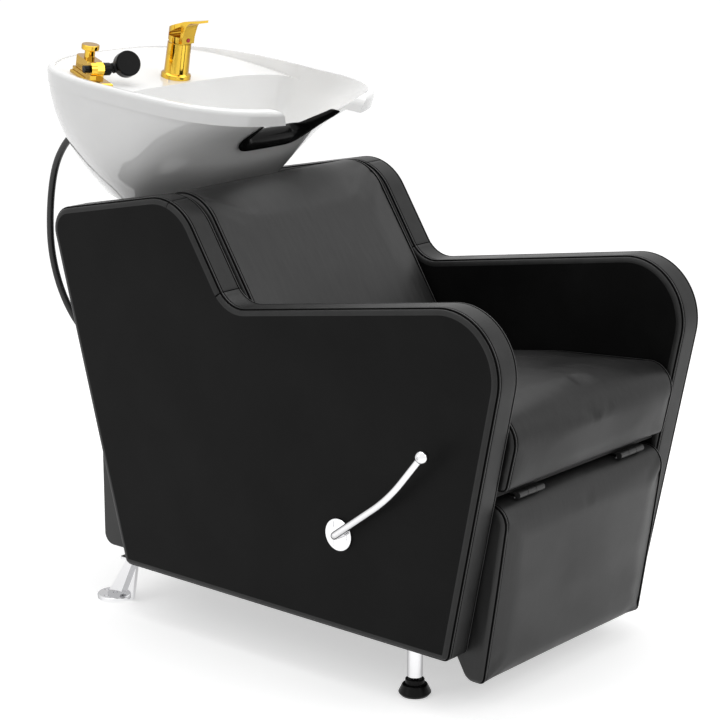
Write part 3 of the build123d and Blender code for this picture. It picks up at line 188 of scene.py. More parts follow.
def bump(tree, height, strength, distance, before=None):
    node = tree.nodes.new("ShaderNodeBump")
    node.inputs["Strength"].default_value = strength
    node.inputs["Distance"].default_value = distance
    tree.links.new(height, node.inputs["Height"])
    if before is not None:
        tree.links.new(before, node.inputs["Normal"])
    return node.outputs["Normal"]


def grey(value):
    return (value, value, value)


def vinyl(name, streak_scale, turn=0.0, low=0.36, high=0.52, dark=0.004, light=0.007, shine=0.08):
    """Black upholstery vinyl: fine pebble grain, soft undulation and faint brushed streaks."""
    material, tree, shader = new_material(name, grey(dark), roughness=0.45, specular=shine)
    even = stretched(tree)
    streaks = noise_node(tree, stretched(tree, streak_scale, turn), scale=1.0, detail=5.0, rough=0.6)
    broad = noise_node(tree, even, scale=7.0, detail=3.0)
    grain = cells(tree, even, scale=1100.0)
    pores = noise_node(tree, even, scale=620.0, detail=3.0)
    color = tint(tree, streaks, grey(dark), grey(light), start=0.35, end=0.7)
    tree.links.new(color, shader.inputs["Base Color"])
    blend = tree.nodes.new("ShaderNodeMath")
    blend.operation = "MULTIPLY_ADD"
    streak_share = 0.5
    tree.links.new(streaks, blend.inputs[0])
    blend.inputs[1].default_value = streak_share
    tree.links.new(broad, blend.inputs[2])
    gloss = spread(tree, blend.outputs[0], low, high, start=0.5, end=1.0)
    tree.links.new(gloss, shader.inputs["Roughness"])
    normal = bump(tree, broad, strength=0.12, distance=0.004)
    normal = bump(tree, streaks, strength=0.05, distance=0.0006, before=normal)
    normal = bump(tree, grain, strength=0.16, distance=0.00022, before=normal)
    normal = bump(tree, pores, strength=0.10, distance=0.0002, before=normal)
    tree.links.new(normal, shader.inputs["Normal"])
    return material


def metal(name, color, roughness, marks, wear, rim=None):
    """Plated metal: uneven roughness, faint polishing marks and, when a rim colour is given, a painted
    reflection: the colour darkens towards the outline with the view angle, standing in for dark
    surroundings.
    """
    material, tree, shader = new_material(name, color, roughness, metallic=1.0)
    cloud = noise_node(tree, stretched(tree), scale=24.0)
    fine = noise_node(tree, stretched(tree, (1, 1, 9)), marks, detail=5.0)
    # Painted reflection: the colour runs from the face colour to the darker rim colour as the surface turns
    # away from the view
    if rim is not None:
        facing = tree.nodes.new("ShaderNodeLayerWeight")
        facing.inputs["Blend"].default_value = 0.5
        shade = tint(tree, facing.outputs["Facing"], color, rim, start=0.25, end=0.85)
        tree.links.new(shade, shader.inputs["Base Color"])
    tree.links.new(spread(tree, cloud, roughness, roughness + wear), shader.inputs["Roughness"])
    tree.links.new(bump(tree, fine, strength=0.04, distance=0.0002), shader.inputs["Normal"])
    return material


def paint(name, color, low, high, grain, depth, specular=0.5):
    """A coated or moulded surface: uneven gloss over a fine texture."""
    material, tree, shader = new_material(name, color, low, specular=specular)
    even = stretched(tree)
    cloud = noise_node(tree, even, scale=9.0)
    fine = noise_node(tree, even, grain, detail=3.0)
    shade_share = 0.86
    shade = tuple(c * shade_share for c in color)
    tree.links.new(tint(tree, cloud, shade, color), shader.inputs["Base Color"])
    tree.links.new(spread(tree, cloud, low, high), shader.inputs["Roughness"])
    tree.links.new(bump(tree, fine, depth, distance=0.0003), shader.inputs["Normal"])
    return material


def plywood(name, dark, light):
    """Board with grain along X."""
    material, tree, shader = new_material(name, light, roughness=0.6, specular=0.3)
    grain = noise_node(tree, stretched(tree, (3, 60, 60)), scale=1.0, detail=6.0, rough=0.65)
    rings = noise_node(tree, stretched(tree, (1.2, 9, 9)), scale=1.0, detail=3.0)
    tree.links.new(tint(tree, grain, dark, light), shader.inputs["Base Color"])
    tree.links.new(spread(tree, rings, low=0.5, high=0.75), shader.inputs["Roughness"])
    tree.links.new(bump(tree, grain, strength=0.2, distance=0.0004), shader.inputs["Normal"])
    return material


def ceramic():
    """White glaze with a faint waviness."""
    dark, middle, light = (0.88, 0.88, 0.875), (0.9, 0.9, 0.895), (0.92, 0.92, 0.915)
    material, tree, shader = new_material("ceramic", middle, roughness=0.06, specular=0.5, coat=0.4)
    shader.inputs["Coat Roughness"].default_value = 0.03
    even = stretched(tree)
    broad = noise_node(tree, even, scale=5.0, detail=2.0)
    fine = noise_node(tree, even, scale=60.0, detail=2.0)
    tree.links.new(tint(tree, broad, dark, light), shader.inputs["Base Color"])
    tree.links.new(spread(tree, fine, low=0.05, high=0.09), shader.inputs["Roughness"])
    tree.links.new(bump(tree, broad, strength=0.05, distance=0.002), shader.inputs["Normal"])
    return material


looks = {
    "black_vinyl": vinyl("vinyl", (6, 6, 6)),
    "plywood": plywood("plywood", dark=(0.42, 0.28, 0.15), light=(0.66, 0.48, 0.3)),
    "black_board": plywood("black_board", dark=(0.006, 0.006, 0.006), light=(0.014, 0.013, 0.013)),
    "black_steel": paint("powder_coat", grey(0.02), low=0.4, high=0.55, grain=900.0, depth=0.25),
    "black_casing": paint("moulded_casing", grey(0.014), low=0.42, high=0.55, grain=700.0, depth=0.2),
    "zinc_steel": metal("zinc_plate", (0.62, 0.62, 0.63), roughness=0.28, marks=200.0, wear=0.14),
    # The chrome's and the gold's darker rim colours are painted reflection, not the plating's own colour
    "chrome": metal("chrome_plate", (0.9, 0.9, 0.91), roughness=0.03, marks=120.0, wear=0.03,
                    rim=(0.3, 0.3, 0.31)),
    "white_ceramic": ceramic(),
    "gold": metal("gold_plate", (0.86, 0.56, 0.07), roughness=0.05, marks=150.0, wear=0.05,
                  rim=(0.3, 0.14, 0.004)),
    "black_rubber": paint("black_rubber", grey(0.012), low=0.3, high=0.45, grain=500.0, depth=0.1),
    "black_gloss": paint("gloss_moulding", grey(0.004), low=0.2, high=0.3, grain=200.0, depth=0.03,
                         specular=0.12),
    "nylon": paint("nylon", (0.72, 0.72, 0.69), low=0.4, high=0.55, grain=400.0, depth=0.1),
    "index_mark": paint("index_mark", (0.55, 0.03, 0.05), low=0.15, high=0.25, grain=300.0, depth=0.05),
}
# Painted shade: near-black matte vinyl in the seam grooves and cross seams; painted highlight: a lighter,
# glossier ridge between them
painted_seam_shade = paint("painted_seam_shade", grey(0.0012), low=0.7, high=0.9, grain=900.0, depth=0.1, specular=0.05)
painted_seam_highlight = paint("painted_seam_highlight", grey(0.03), low=0.3, high=0.4, grain=900.0, depth=0.1)
# Painted light: lighter, shinier copies of the one black vinyl for the pieces that face the lamps, the
# seat, leg rest, back and the side panels' bands
seat_vinyl_painted_light = vinyl("vinyl_seat_painted_light", (150, 14, 60), turn=0.5, low=0.33, high=0.5,
                   dark=0.010, light=0.018, shine=0.28)
leg_vinyl_painted_light = vinyl("vinyl_leg_painted_light", (230, 60, 7), low=0.36, high=0.54, dark=0.014, light=0.022, shine=0.38)
back_vinyl_painted_light = vinyl("vinyl_back_painted_light", (120, 30, 12), turn=0.2, low=0.4, high=0.55,
                   dark=0.019, light=0.028, shine=0.38)
band_vinyl_painted_light = vinyl("vinyl_band_painted_light", (40, 40, 40), low=0.36, high=0.5, dark=0.013, light=0.019, shine=0.28)

for part in frame["record"]["subparts"]:
    node = nodes[part["node"]]
    look = looks[part["material_slot"]]
    if not node.material_slots:
        node.data.materials.append(look)
    for place in node.material_slots:
        place.material = look
hose.data.materials.append(looks["black_rubber"])


# Upholstery outlines

LEAST_RADIUS = 0.002
LEAST_BENDS = 4


def rounded(corners):
    """Arc at each corner of a closed outline of (y, z, radius): start, end, centre, turn, radius."""
    arcs = []
    total = len(corners)
    for index in range(total):
        here = Vector(corners[index][:2])
        before = Vector(corners[index - 1][:2])
        after = Vector(corners[(index + 1) % total][:2])
        radius = max(corners[index][2], LEAST_RADIUS)
        arrive = (here - before).normalized()
        leave = (after - here).normalized()
        turn = math.atan2(arrive.x * leave.y - arrive.y * leave.x, arrive.dot(leave))
        reach = radius * math.tan(abs(turn) / 2)
        start = here - arrive * reach
        side = Vector((-arrive.y, arrive.x)) * math.copysign(1, turn)
        arcs.append((start, here + leave * reach, start + side * radius, turn, radius))
    return arcs


def turned(spoke, angle):
    c, s = math.cos(angle), math.sin(angle)
    return Vector((spoke.x * c - spoke.y * s, spoke.x * s + spoke.y * c))


def walk(arcs, pattern):
    """Points along the arcs and the straights between them, with set counts."""
    points = []
    for index, (start, end, centre, turn, _) in enumerate(arcs):
        next_start = arcs[(index + 1) % len(arcs)][0]
        bends, runs = pattern[index]
        for number in range(bends):
            points.append(centre + turned(start - centre, turn * number / bends))
        for number in range(runs):
            points.append(end.lerp(next_start, number / runs))
    return points


def pattern_of(arcs, step):
    """How many points each arc and each straight gets."""
    pattern = []
    for index, (_, end, _, turn, radius) in enumerate(arcs):
        run = (arcs[(index + 1) % len(arcs)][0] - end).length
        pattern.append((max(LEAST_BENDS, round(abs(turn) * radius / step)), max(1, round(run / step))))
    return pattern


def outward(points):
    """Unit normals that point out of a closed loop."""
    total = len(points)
    area = sum(points[i - 1].x * points[i].y - points[i].x * points[i - 1].y for i in range(total))
    side = 1 if area > 0 else -1
    normals = []
    for index in range(total):
        run = (points[(index + 1) % total] - points[index - 1]).normalized()
        normals.append(Vector((run.y, -run.x)) * side)
    return normals


def inside_loop(p, loop):
    """Whether a point is inside a closed loop."""
    hit = False
    for a, b in zip(loop, loop[1:] + loop[:1]):
        if (a.y > p.y) != (b.y > p.y) and p.x < (b.x - a.x) * (p.y - a.y) / (b.y - a.y) + a.x:
            hit = not hit
    return hit


# Padded pieces

# Material numbers on a padded piece, after the vinyl's own 0: the grooves' painted shade, the ridge's
# painted highlight and the side face
GROOVE_SHADE, RIDGE_HIGHLIGHT, SIDE_FACE = 1, 2, 3

# Double seam near a side plane: (distance from the plane, inset), from the middle outwards
SEAM = [
    (0.0150, 0), (0.0122, 0.0001), (0.0110, 0.0004), (0.0104, 0.0020), (0.0096, 0.0020), (0.0090, 0.0003),
    (0.0080, -0.0002), (0.0068, 0.0), (0.0060, 0.0008), (0.0055, 0.0032), (0.0044, 0.0034),
    (0.0034, 0.0030), (0.0018, 0.0046), (0.0006, 0.0072), (0.0, 0.0105), (0.0, 0.0125),
]
# Which bands of the seam take the painted shade and which the painted highlight
SEAM_LOOK = {2: GROOVE_SHADE, 3: GROOVE_SHADE, 4: GROOVE_SHADE, 6: RIDGE_HIGHLIGHT, 8: GROOVE_SHADE, 9: GROOVE_SHADE, 10: GROOVE_SHADE}

CREASE_DEPTH = 0.0011
CREASE_HALF = 0.0009

SIDE_GRID = 0.024
SIDE_ROW_SHARE = 0.866
SIDE_EDGE_SHARE = 0.45
SIDE_WAVE = 0.0006
SIDE_WAVES_PER_M = 6
SIDE_WAVE_FADE = 0.03
SIDE_WAVE_PLACE = 3.1
MERGE_WITHIN = 1e-6


def creased(ring, places):
    """The ring with three close points for each cross seam, and the middle points' numbers."""
    found = set()
    for place in places:
        target = Vector(place)
        near = min(range(len(ring)), key=lambda i: (ring[i] - target).length)
        run = (ring[(near + 1) % len(ring)] - ring[near - 1]).normalized()
        here = ring[near]
        ring[near:near + 1] = [here - run * CREASE_HALF, here, here + run * CREASE_HALF]
        found = {i + 2 if i > near else i for i in found} | {near + 1}
    return ring, found


def scattered(flat):
    """Points on a staggered grid inside a closed loop."""
    low_y, high_y = min(p.x for p in flat), max(p.x for p in flat)
    low_z, high_z = min(p.y for p in flat), max(p.y for p in flat)
    inside = []
    y = low_y + SIDE_GRID / 2
    row = 0
    while y < high_y:
        z = low_z + SIDE_GRID / 2 + (SIDE_GRID / 2 if row % 2 else 0)
        while z < high_z:
            p = Vector((y, z))
            if min((p - q).length for q in flat) > SIDE_GRID * SIDE_EDGE_SHARE and inside_loop(p, flat):
                inside.append(p)
            z += SIDE_GRID
        y += SIDE_GRID * SIDE_ROW_SHARE
        row += 1
    return inside


def close_side(mesh, ring, sign, centre_x, half):
    """A slightly uneven side face inside the last ring on one side."""
    flat = [Vector((v.co.y, v.co.z)) for v in ring]
    found = geometry.delaunay_2d_cdt(flat + scattered(flat), [], [list(range(len(flat)))], 1, MERGE_WITHIN)
    made = {}
    for number, sources in enumerate(found[3]):
        if sources and sources[0] < len(flat):
            made[number] = ring[sources[0]]
            continue
        p = found[0][number]
        gap = min((p - q).length for q in flat)
        wave = noise.noise(Vector((p.x * SIDE_WAVES_PER_M, p.y * SIDE_WAVES_PER_M, sign * SIDE_WAVE_PLACE)))
        rise = SIDE_WAVE * wave * min(1, gap / SIDE_WAVE_FADE)
        made[number] = mesh.verts.new((centre_x + sign * (half + rise), p.x, p.y))
    for face in found[2]:
        mesh.faces.new([made[k] for k in face]).material_index = SIDE_FACE


def smooth_piece(name, mesh):
    """An object with smooth faces whose normals point out."""
    bmesh.ops.recalc_face_normals(mesh, faces=mesh.faces)
    for face in mesh.faces:
        face.smooth = True
    data = bpy.data.meshes.new(name)
    mesh.to_mesh(data)
    mesh.free()
    return linked(name, data)


def upholster(name, edge, middle, half, centre_x, step, columns, places=()):
    """A padded piece: a profile run across X with a double seam at each edge, and padded side faces."""
    arcs = rounded(middle)
    pattern = pattern_of(arcs, step)
    middle_ring, creases = creased(walk(arcs, pattern), places)
    edge_ring, _ = creased(walk(rounded(edge), pattern), places)
    count = len(middle_ring)
    inner = half - SEAM[0][0]
    stations = [(-(half - t), d) for t, d in reversed(SEAM)]
    stations += [(-inner + 2 * inner * n / columns, 0.0) for n in range(1, columns)]
    stations += [(half - t, d) for t, d in SEAM]
    mesh = bmesh.new()
    rings = []
    for x, inset in stations:
        share = 1 - min(1.0, abs(x) / half) ** 2
        ring = [e.lerp(m, share) for e, m in zip(edge_ring, middle_ring)]
        normals = outward(ring)
        depths = [inset + (CREASE_DEPTH if i in creases else 0.0) for i in range(count)]
        rings.append([mesh.verts.new((centre_x + x, p.x - n.x * d, p.y - n.y * d))
                      for p, n, d in zip(ring, normals, depths)])
    last = len(rings) - 2
    for number, (low, high) in enumerate(zip(rings, rings[1:])):
        seam = SEAM_LOOK.get(len(SEAM) - 2 - min(number, last - number), 0)
        for i in range(count):
            j = (i + 1) % count
            face = mesh.faces.new((low[i], low[j], high[j], high[i]))
            # Seam bands and cross seams take the painted shade and painted highlight materials
            face.material_index = seam or (GROOVE_SHADE if i in creases or j in creases else 0)
    for ring, sign in ((rings[0], -1), (rings[-1], 1)):
        close_side(mesh, ring, sign, centre_x, half)
    return smooth_piece(name, mesh)


PUFF_FRAMES = 20
PUFF_CLOTH = {
    "quality": 5, "mass": 0.25, "tension_stiffness": 25, "compression_stiffness": 25, "shear_stiffness": 10,
    "bending_stiffness": 2, "use_pressure": True, "vertex_group_mass": "held",
}


def puff(piece, held, pressure, cap):
    """Blow the piece up a little as cloth with its seams held, and keep the result within the cap."""
    data = piece.data
    rest = [v.co.copy() for v in data.vertices]
    group = piece.vertex_groups.new(name="held")
    group.add([v.index for v in data.vertices if held(v.co)], 1.0, "REPLACE")
    cloth = piece.modifiers.new("Cloth", "CLOTH")
    for name, value in PUFF_CLOTH.items():
        setattr(cloth.settings, name, value)
    cloth.settings.uniform_pressure_force = pressure
    cloth.settings.effector_weights.gravity = 0
    cloth.collision_settings.use_collision = False
    cloth.point_cache.frame_start = 1
    cloth.point_cache.frame_end = PUFF_FRAMES
    for number in range(1, PUFF_FRAMES + 1):
        scene.frame_set(number)
    shaped = piece.evaluated_get(bpy.context.evaluated_depsgraph_get())
    moved = [v.co.copy() for v in shaped.data.vertices]
    piece.modifiers.remove(cloth)
    for vertex, old, new in zip(data.vertices, rest, moved):
        step = new - old
        if step.length > cap:
            step *= cap / step.length
        vertex.co = old + step
    scene.frame_set(1)


def dress(piece, node, body, material, side=None):
    """Give a padded piece its materials and its body, and hide the node it replaces."""
    for look in (material, painted_seam_shade, painted_seam_highlight, side or material):
        piece.data.materials.append(look)
    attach(piece, body)
    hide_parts(node)


# Padded sides: corners of the outline as (y, z), in millimetres

REAR_FOOT = Vector((-86, 100))
REAR_TOP = Vector((95, 758))
CREST = Vector((-240, 825))
ELBOW = Vector((-361, 635))
HAND = Vector((-985, 733))
FRONT_FOOT = Vector((-859, 100))
SIDE_ROUNDS = ((REAR_FOOT, 12), (REAR_TOP, 45), (CREST, 100), (ELBOW, 60), (HAND, 110), (FRONT_FOOT, 15))
SIDE_HALF = 0.030
SIDE_X = 0.270
SIDE_STEP = 0.008
SIDE_COLUMNS = 4
SIDE_CROSS_SEAMS = ((-0.218, 0.800), (-0.352, 0.664))

side_outline = [metres((corner.x, corner.y, radius)) for corner, radius in SIDE_ROUNDS]
for side, name in ((-1, "side_panel_left"), (1, "side_panel_right")):
    panel = upholster(name.replace("side_panel", "padded_side"), side_outline, side_outline, SIDE_HALF,
                      side * SIDE_X, SIDE_STEP, SIDE_COLUMNS, SIDE_CROSS_SEAMS)
    # Painted shade and painted light: the side faces keep the darker base vinyl, the bands take a lighter
    # copy
    dress(panel, name, "chair", band_vinyl_painted_light, side=looks["black_vinyl"])


# Seat, back and leg rest cushions: outlines in millimetres

FACE_RUN = (CREST - ELBOW).normalized()
FACE_BACK = Vector((FACE_RUN.y, -FACE_RUN.x))
CREST_RUN = (REAR_TOP - CREST).normalized()
TUCK_ROUND = 10

SEAT_UNDER = 397.3
SEAT_TOE = (-928, SEAT_UNDER, 14)
SEAT_NOSE = (-959, 546, 46)
SEAT_DIP = (-700, 526, 380)
SEAT_REAR_Z = 490
SEAT_REAR_GAP = 5
SEAT_EDGE_DROP = 13
SEAT_MIDDLE_DROP = 1.5

BACK_CHEST = (650, 420)
BACK_CREST_ROUND = 88
BACK_CREST_SHARE = 0.4
BACK_TUCK_ROUND = 11
BACK_THICK = 75
BACK_EDGE_CROWN = 1.35
BACK_MIDDLE_CROWN = 8

LEG_CORNERS = [(-936, 373, 34), (-861, 373, 10), (-823, 95, 22), (-850, 48, 22), (-888, 48, 14)]
LEG_SHIN = (-912, 210.5, 900)
LEG_EDGE_CROWN = 0.9
LEG_MIDDLE_CROWN = 5


def on_face(z, out=0.0):
    """Point on the backrest's face at a height, moved out towards the sitter."""
    return ELBOW + FACE_RUN * ((z - ELBOW.y) / FACE_RUN.y) - FACE_BACK * out


def meet(point, run, other, other_run):
    """Where two lines cross."""
    gap = other - point
    turn = run.x * other_run.y - run.y * other_run.x
    return point + run * ((gap.x * other_run.y - gap.y * other_run.x) / turn)


def seat_corners(drop):
    top, foot = on_face(SEAT_REAR_Z - drop), on_face(SEAT_UNDER)
    (nose_y, nose_z, nose_round), (dip_y, dip_z, dip_round) = SEAT_NOSE, SEAT_DIP
    corners = [SEAT_TOE, (nose_y, nose_z - drop, nose_round), (dip_y, dip_z - drop, dip_round),
               (top.x - SEAT_REAR_GAP, top.y, TUCK_ROUND), (foot.x - SEAT_REAR_GAP, SEAT_UNDER, TUCK_ROUND)]
    return [metres(corner) for corner in corners]


def back_corners(crown):
    chest_z, chest_round = BACK_CHEST
    foot, chest = on_face(SEAT_UNDER), on_face(chest_z, crown)
    crest = CREST - FACE_BACK * (crown * BACK_CREST_SHARE)
    rear = ELBOW + FACE_BACK * BACK_THICK
    top = meet(crest, CREST_RUN, rear, FACE_RUN)
    low = meet(foot, Vector((1, 0)), rear, FACE_RUN)
    places = ((foot, BACK_TUCK_ROUND), (chest, chest_round), (crest, BACK_CREST_ROUND),
              (top, BACK_TUCK_ROUND), (low, BACK_TUCK_ROUND))
    return [metres((place.x, place.y, radius)) for place, radius in places]


def leg_corners(crown):
    shin_y, shin_z, shin_round = LEG_SHIN
    return [metres(corner) for corner in LEG_CORNERS + [(shin_y - crown, shin_z, shin_round)]]


# Half the cushions' width and their mesh's step along the outline, in metres, and its columns across
CUSHION_HALF = 0.2388
CUSHION_STEP = 0.009
CUSHION_COLUMNS = 44

# Where the cushions are held while they are puffed, in metres
SEAM_X = 0.2285
SEAT_HELD_BELOW = 0.404
SEAT_HELD_BEHIND = -0.50
BACK_HELD_BELOW = 0.47
BACK_FREE_DEPTH = 0.060
LEG_HELD_BEHIND = -0.872


def cushion(name, edge, middle):
    return upholster(name, edge, middle, CUSHION_HALF, 0, CUSHION_STEP, CUSHION_COLUMNS)


def seat_held(p):
    return abs(p.x) > SEAM_X or p.z < SEAT_HELD_BELOW or p.y > SEAT_HELD_BEHIND


def back_held(p):
    start = Vector(metres(ELBOW)) + FACE_BACK * BACK_FREE_DEPTH
    behind = (Vector((p.y, p.z)) - start).dot(FACE_BACK) > 0
    return abs(p.x) > SEAM_X or behind or p.z < BACK_HELD_BELOW


def leg_held(p):
    return abs(p.x) > SEAM_X or p.y > LEG_HELD_BEHIND


seat = cushion("seat_pad", seat_corners(SEAT_EDGE_DROP), seat_corners(SEAT_MIDDLE_DROP))
back = cushion("back_pad", back_corners(BACK_EDGE_CROWN), back_corners(BACK_MIDDLE_CROWN))
leg = cushion("leg_rest_pad", leg_corners(LEG_EDGE_CROWN), leg_corners(LEG_MIDDLE_CROWN))
puff(seat, seat_held, pressure=3.0, cap=0.006)
puff(back, back_held, pressure=3.0, cap=0.006)
puff(leg, leg_held, pressure=2.5, cap=0.005)
# The cushions take the lighter vinyl copies: painted light
dress(seat, "seat_cushion", "chair", seat_vinyl_painted_light)
dress(back, "back_cushion", "chair", back_vinyl_painted_light)
dress(leg, "legrest_pad", "legrest", leg_vinyl_painted_light)


# Neck rest, a moulded saddle that lines the basin's notch

BOWL_TILT = math.radians(5.2)
BOWL_AT = Vector((0, -0.035, 0.9893))

# The notch's outline below the rim as (x, z, radius), closed above it, and its counts of points
NOTCH_TOP_HALF = 0.114
NOTCH_FOOT_HALF = 0.078
NOTCH_DROP = 0.096
NOTCH_SHOULDER_ROUND = 0.026
NOTCH_FOOT_ROUND = 0.036
NOTCH_CLOSE = 0.060
NOTCH = [
    (-NOTCH_TOP_HALF, 0.0, NOTCH_SHOULDER_ROUND), (-NOTCH_FOOT_HALF, -NOTCH_DROP, NOTCH_FOOT_ROUND),
    (NOTCH_FOOT_HALF, -NOTCH_DROP, NOTCH_FOOT_ROUND), (NOTCH_TOP_HALF, 0.0, NOTCH_SHOULDER_ROUND),
    (NOTCH_TOP_HALF, NOTCH_CLOSE, LEAST_RADIUS), (-NOTCH_TOP_HALF, NOTCH_CLOSE, LEAST_RADIUS),
]
NOTCH_COUNTS = [(8, 16), (12, 14), (12, 16), (8, 1), (1, 1), (1, 1)]

NECK_TOP = -0.030
NECK_THICK = 0.024
NECK_EDGE = 0.0006
NECK_CLEAR = 0.0012
NECK_TAPER_SHARE = 0.45
NECK_BACK = 0.004
NECK_FRONT_ROUND = 0.003
NECK_PROBE = 0.003
NECK_FOOT_REACH = 0.016
LIP_DROP, LIP_DROP_MORE = 0.003, 0.011
LIP_THICK, LIP_THICK_MORE = 0.004, 0.004
LIP_ROUND = 0.001
LIP_FOOT_SHARE = 0.6
LIP_TOP_SHARE = 0.8
NECK_SHOULDER_SHARE = 0.6
PROBE_AHEAD = -0.6
PROBE_INSIDE = -0.05


def from_bowl(x, y, z):
    """World point of a point given from the basin's rim."""
    c, s = math.cos(BOWL_TILT), math.sin(BOWL_TILT)
    return BOWL_AT + Vector((x, y * c - z * s, y * s + z * c))


def basin_tree():
    """The basin's surface, for casting rays at it."""
    basin = nodes["wash_basin"]
    shape = basin.evaluated_get(bpy.context.evaluated_depsgraph_get())
    mesh = shape.to_mesh()
    tree = BVHTree.FromPolygons([basin.matrix_world @ v.co for v in mesh.vertices],
                                [list(p.vertices) for p in mesh.polygons])
    shape.to_mesh_clear()
    return tree


def wall_at(tree, x, z):
    """Outer and inner Y of the basin's front wall at a place beside the notch."""
    along = from_bowl(0, 1, 0) - BOWL_AT
    outer = tree.ray_cast(from_bowl(x, PROBE_AHEAD, z), along)[0]
    inner = tree.ray_cast(from_bowl(x, PROBE_INSIDE, z), -along)[0]
    if outer is None or inner is None:
        return None
    return (outer - BOWL_AT).dot(along), (inner - BOWL_AT).dot(along)


def neck_section(tree, path, index):
    """The saddle's closed section at one point of the notch's outline, or None off the wall."""
    p = path[index]
    ahead, behind = path[min(index + 1, len(path) - 1)], path[max(index - 1, 0)]
    run = (ahead - behind).normalized()
    up = Vector((-run.y, run.x))
    share = 1 - abs(2 * index / (len(path) - 1) - 1)
    full = min(1.0, share / NECK_TAPER_SHARE)
    full = full * full * (3 - 2 * full)
    drop = LIP_DROP + LIP_DROP_MORE * full
    thick = NECK_THICK * (1 + full) / 2
    shoulder = thick * NECK_SHOULDER_SHARE
    side = p - up * NECK_PROBE
    low = p - up * drop
    near, low_wall = wall_at(tree, side.x, side.y), wall_at(tree, low.x, low.y)
    if near is None or low_wall is None:
        return None
    front, back = near[0], near[1] + NECK_BACK
    middle = (front + back) / 2
    foot = min(low_wall[0], front + NECK_FOOT_REACH) - NECK_CLEAR
    lip = LIP_THICK + LIP_THICK_MORE * full
    section = [
        (back, NECK_EDGE), (middle, NECK_EDGE), (front - NECK_CLEAR, NECK_EDGE), (foot, -drop),
        (foot - lip * LIP_FOOT_SHARE, -drop - LIP_ROUND), (foot - lip, -drop + LIP_DROP),
        (front - NECK_CLEAR - lip, LIP_ROUND), (front - NECK_CLEAR - lip * LIP_TOP_SHARE, shoulder),
        (front + NECK_FRONT_ROUND, thick), (middle, thick), (back - NECK_BACK, thick), (back, shoulder),
    ]
    return [from_bowl(p.x + up.x * n, y, p.y + up.y * n) for y, n in section]


def neck_saddle():
    tree = basin_tree()
    path = [p for p in walk(rounded(NOTCH), NOTCH_COUNTS) if p.y < NECK_TOP]
    made = bmesh.new()
    sections = [neck_section(tree, path, index) for index in range(len(path))]
    rings = [[made.verts.new(place) for place in section] for section in sections if section]
    for one, two in zip(rings, rings[1:]):
        for i in range(len(one)):
            j = (i + 1) % len(one)
            made.faces.new((one[i], one[j], two[j], two[i]))
    made.faces.new(rings[0])
    made.faces.new(list(reversed(rings[-1])))
    piece = smooth_piece("neck_saddle", made)
    smooth = piece.modifiers.new("Smooth", "SUBSURF")
    smooth.levels = 2
    smooth.render_levels = 2
    piece.data.materials.append(looks["black_gloss"])
    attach(piece, "bowl")
    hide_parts("neck_rest")


neck_saddle()


# Floor, backdrop and light

FLOOR_HALF = 14
FLOOR_Z = -0.0005
FLOOR_COLOR = grey(0.8)
FLOOR_GLOW = 0.52
SKY_FOOT = grey(0.32)
SKY_TOP = grey(0.72)
SKY_TOP_AT = 0.75


def seen_rays(tree):
    """One for rays that show the background: from the camera, a mirror or glass."""
    rays = tree.nodes.new("ShaderNodeLightPath")
    total = rays.outputs["Is Camera Ray"]
    for name in ("Is Glossy Ray", "Is Transmission Ray"):
        larger = tree.nodes.new("ShaderNodeMath")
        larger.operation = "MAXIMUM"
        tree.links.new(total, larger.inputs[0])
        tree.links.new(rays.outputs[name], larger.inputs[1])
        total = larger.outputs[0]
    return total


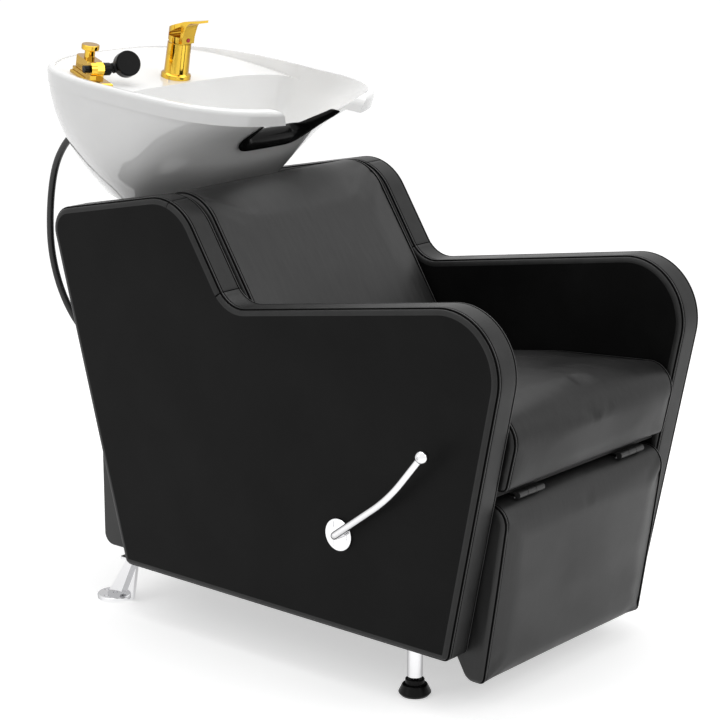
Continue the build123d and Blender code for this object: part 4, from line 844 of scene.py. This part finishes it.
def plain_floor():
    """Pale floor that shows as white and keeps the shadow."""
    mesh = bmesh.new()
    signs = ((-1, -1), (1, -1), (1, 1), (-1, 1))
    mesh.faces.new([mesh.verts.new((x * FLOOR_HALF, y * FLOOR_HALF, FLOOR_Z)) for x, y in signs])
    data = bpy.data.meshes.new("floor")
    mesh.to_mesh(data)
    mesh.free()
    floor = linked("floor", data)
    material = bpy.data.materials.new("floor")
    material.use_nodes = True
    tree = material.node_tree
    tree.nodes.clear()
    output = tree.nodes.new("ShaderNodeOutputMaterial")
    diffuse = tree.nodes.new("ShaderNodeBsdfDiffuse")
    diffuse.inputs["Color"].default_value = (*FLOOR_COLOR, 1)
    glow = tree.nodes.new("ShaderNodeEmission")
    glow.inputs["Strength"].default_value = FLOOR_GLOW
    both = tree.nodes.new("ShaderNodeAddShader")
    mix = tree.nodes.new("ShaderNodeMixShader")
    tree.links.new(diffuse.outputs[0], both.inputs[0])
    tree.links.new(glow.outputs[0], both.inputs[1])
    tree.links.new(seen_rays(tree), mix.inputs[0])
    tree.links.new(diffuse.outputs[0], mix.inputs[1])
    tree.links.new(both.outputs[0], mix.inputs[2])
    tree.links.new(mix.outputs[0], output.inputs[0])
    data.materials.append(material)


def studio_world():
    """White to the camera, and for the light on the object paler above than below."""
    world = bpy.data.worlds.new("studio")
    scene.world = world
    world.use_nodes = True
    tree = world.node_tree
    tree.nodes.clear()
    output = tree.nodes.new("ShaderNodeOutputWorld")
    seen = tree.nodes.new("ShaderNodeBackground")
    seen.inputs["Strength"].default_value = 1.0
    seen.inputs["Color"].default_value = (*grey(1), 1)
    light = tree.nodes.new("ShaderNodeBackground")
    light.inputs["Strength"].default_value = 1.0
    place = tree.nodes.new("ShaderNodeTexCoord")
    split = tree.nodes.new("ShaderNodeSeparateXYZ")
    mix = tree.nodes.new("ShaderNodeMixShader")
    tree.links.new(place.outputs["Generated"], split.inputs[0])
    sky = tint(tree, split.outputs["Z"], SKY_FOOT, SKY_TOP, start=0.0, end=SKY_TOP_AT)
    tree.links.new(sky, light.inputs["Color"])
    tree.links.new(seen_rays(tree), mix.inputs[0])
    tree.links.new(light.outputs[0], mix.inputs[1])
    tree.links.new(seen.outputs[0], mix.inputs[2])
    tree.links.new(mix.outputs[0], output.inputs[0])


def lamp(name, place, target, size, power):
    data = bpy.data.lights.new(name, "AREA")
    data.shape = "RECTANGLE"
    data.size, data.size_y = size
    data.energy = power
    made = linked(name, data)
    made.location = place
    made.rotation_mode = "QUATERNION"
    made.rotation_quaternion = (Vector(target) - Vector(place)).to_track_quat("-Z", "Y")


plain_floor()
studio_world()
lamp("top_light", place=(0.3, -0.2, 3.0), target=(0, -0.4, 0.5), size=(2.6, 2.6), power=32)
lamp("front_light", place=(0.9, -3.2, 2.3), target=(0, -0.5, 0.5), size=(1.6, 1.6), power=18)
lamp("side_light", place=(-3.2, 0.6, 2.4), target=(0, -0.2, 0.7), size=(1.2, 2.0), power=10)
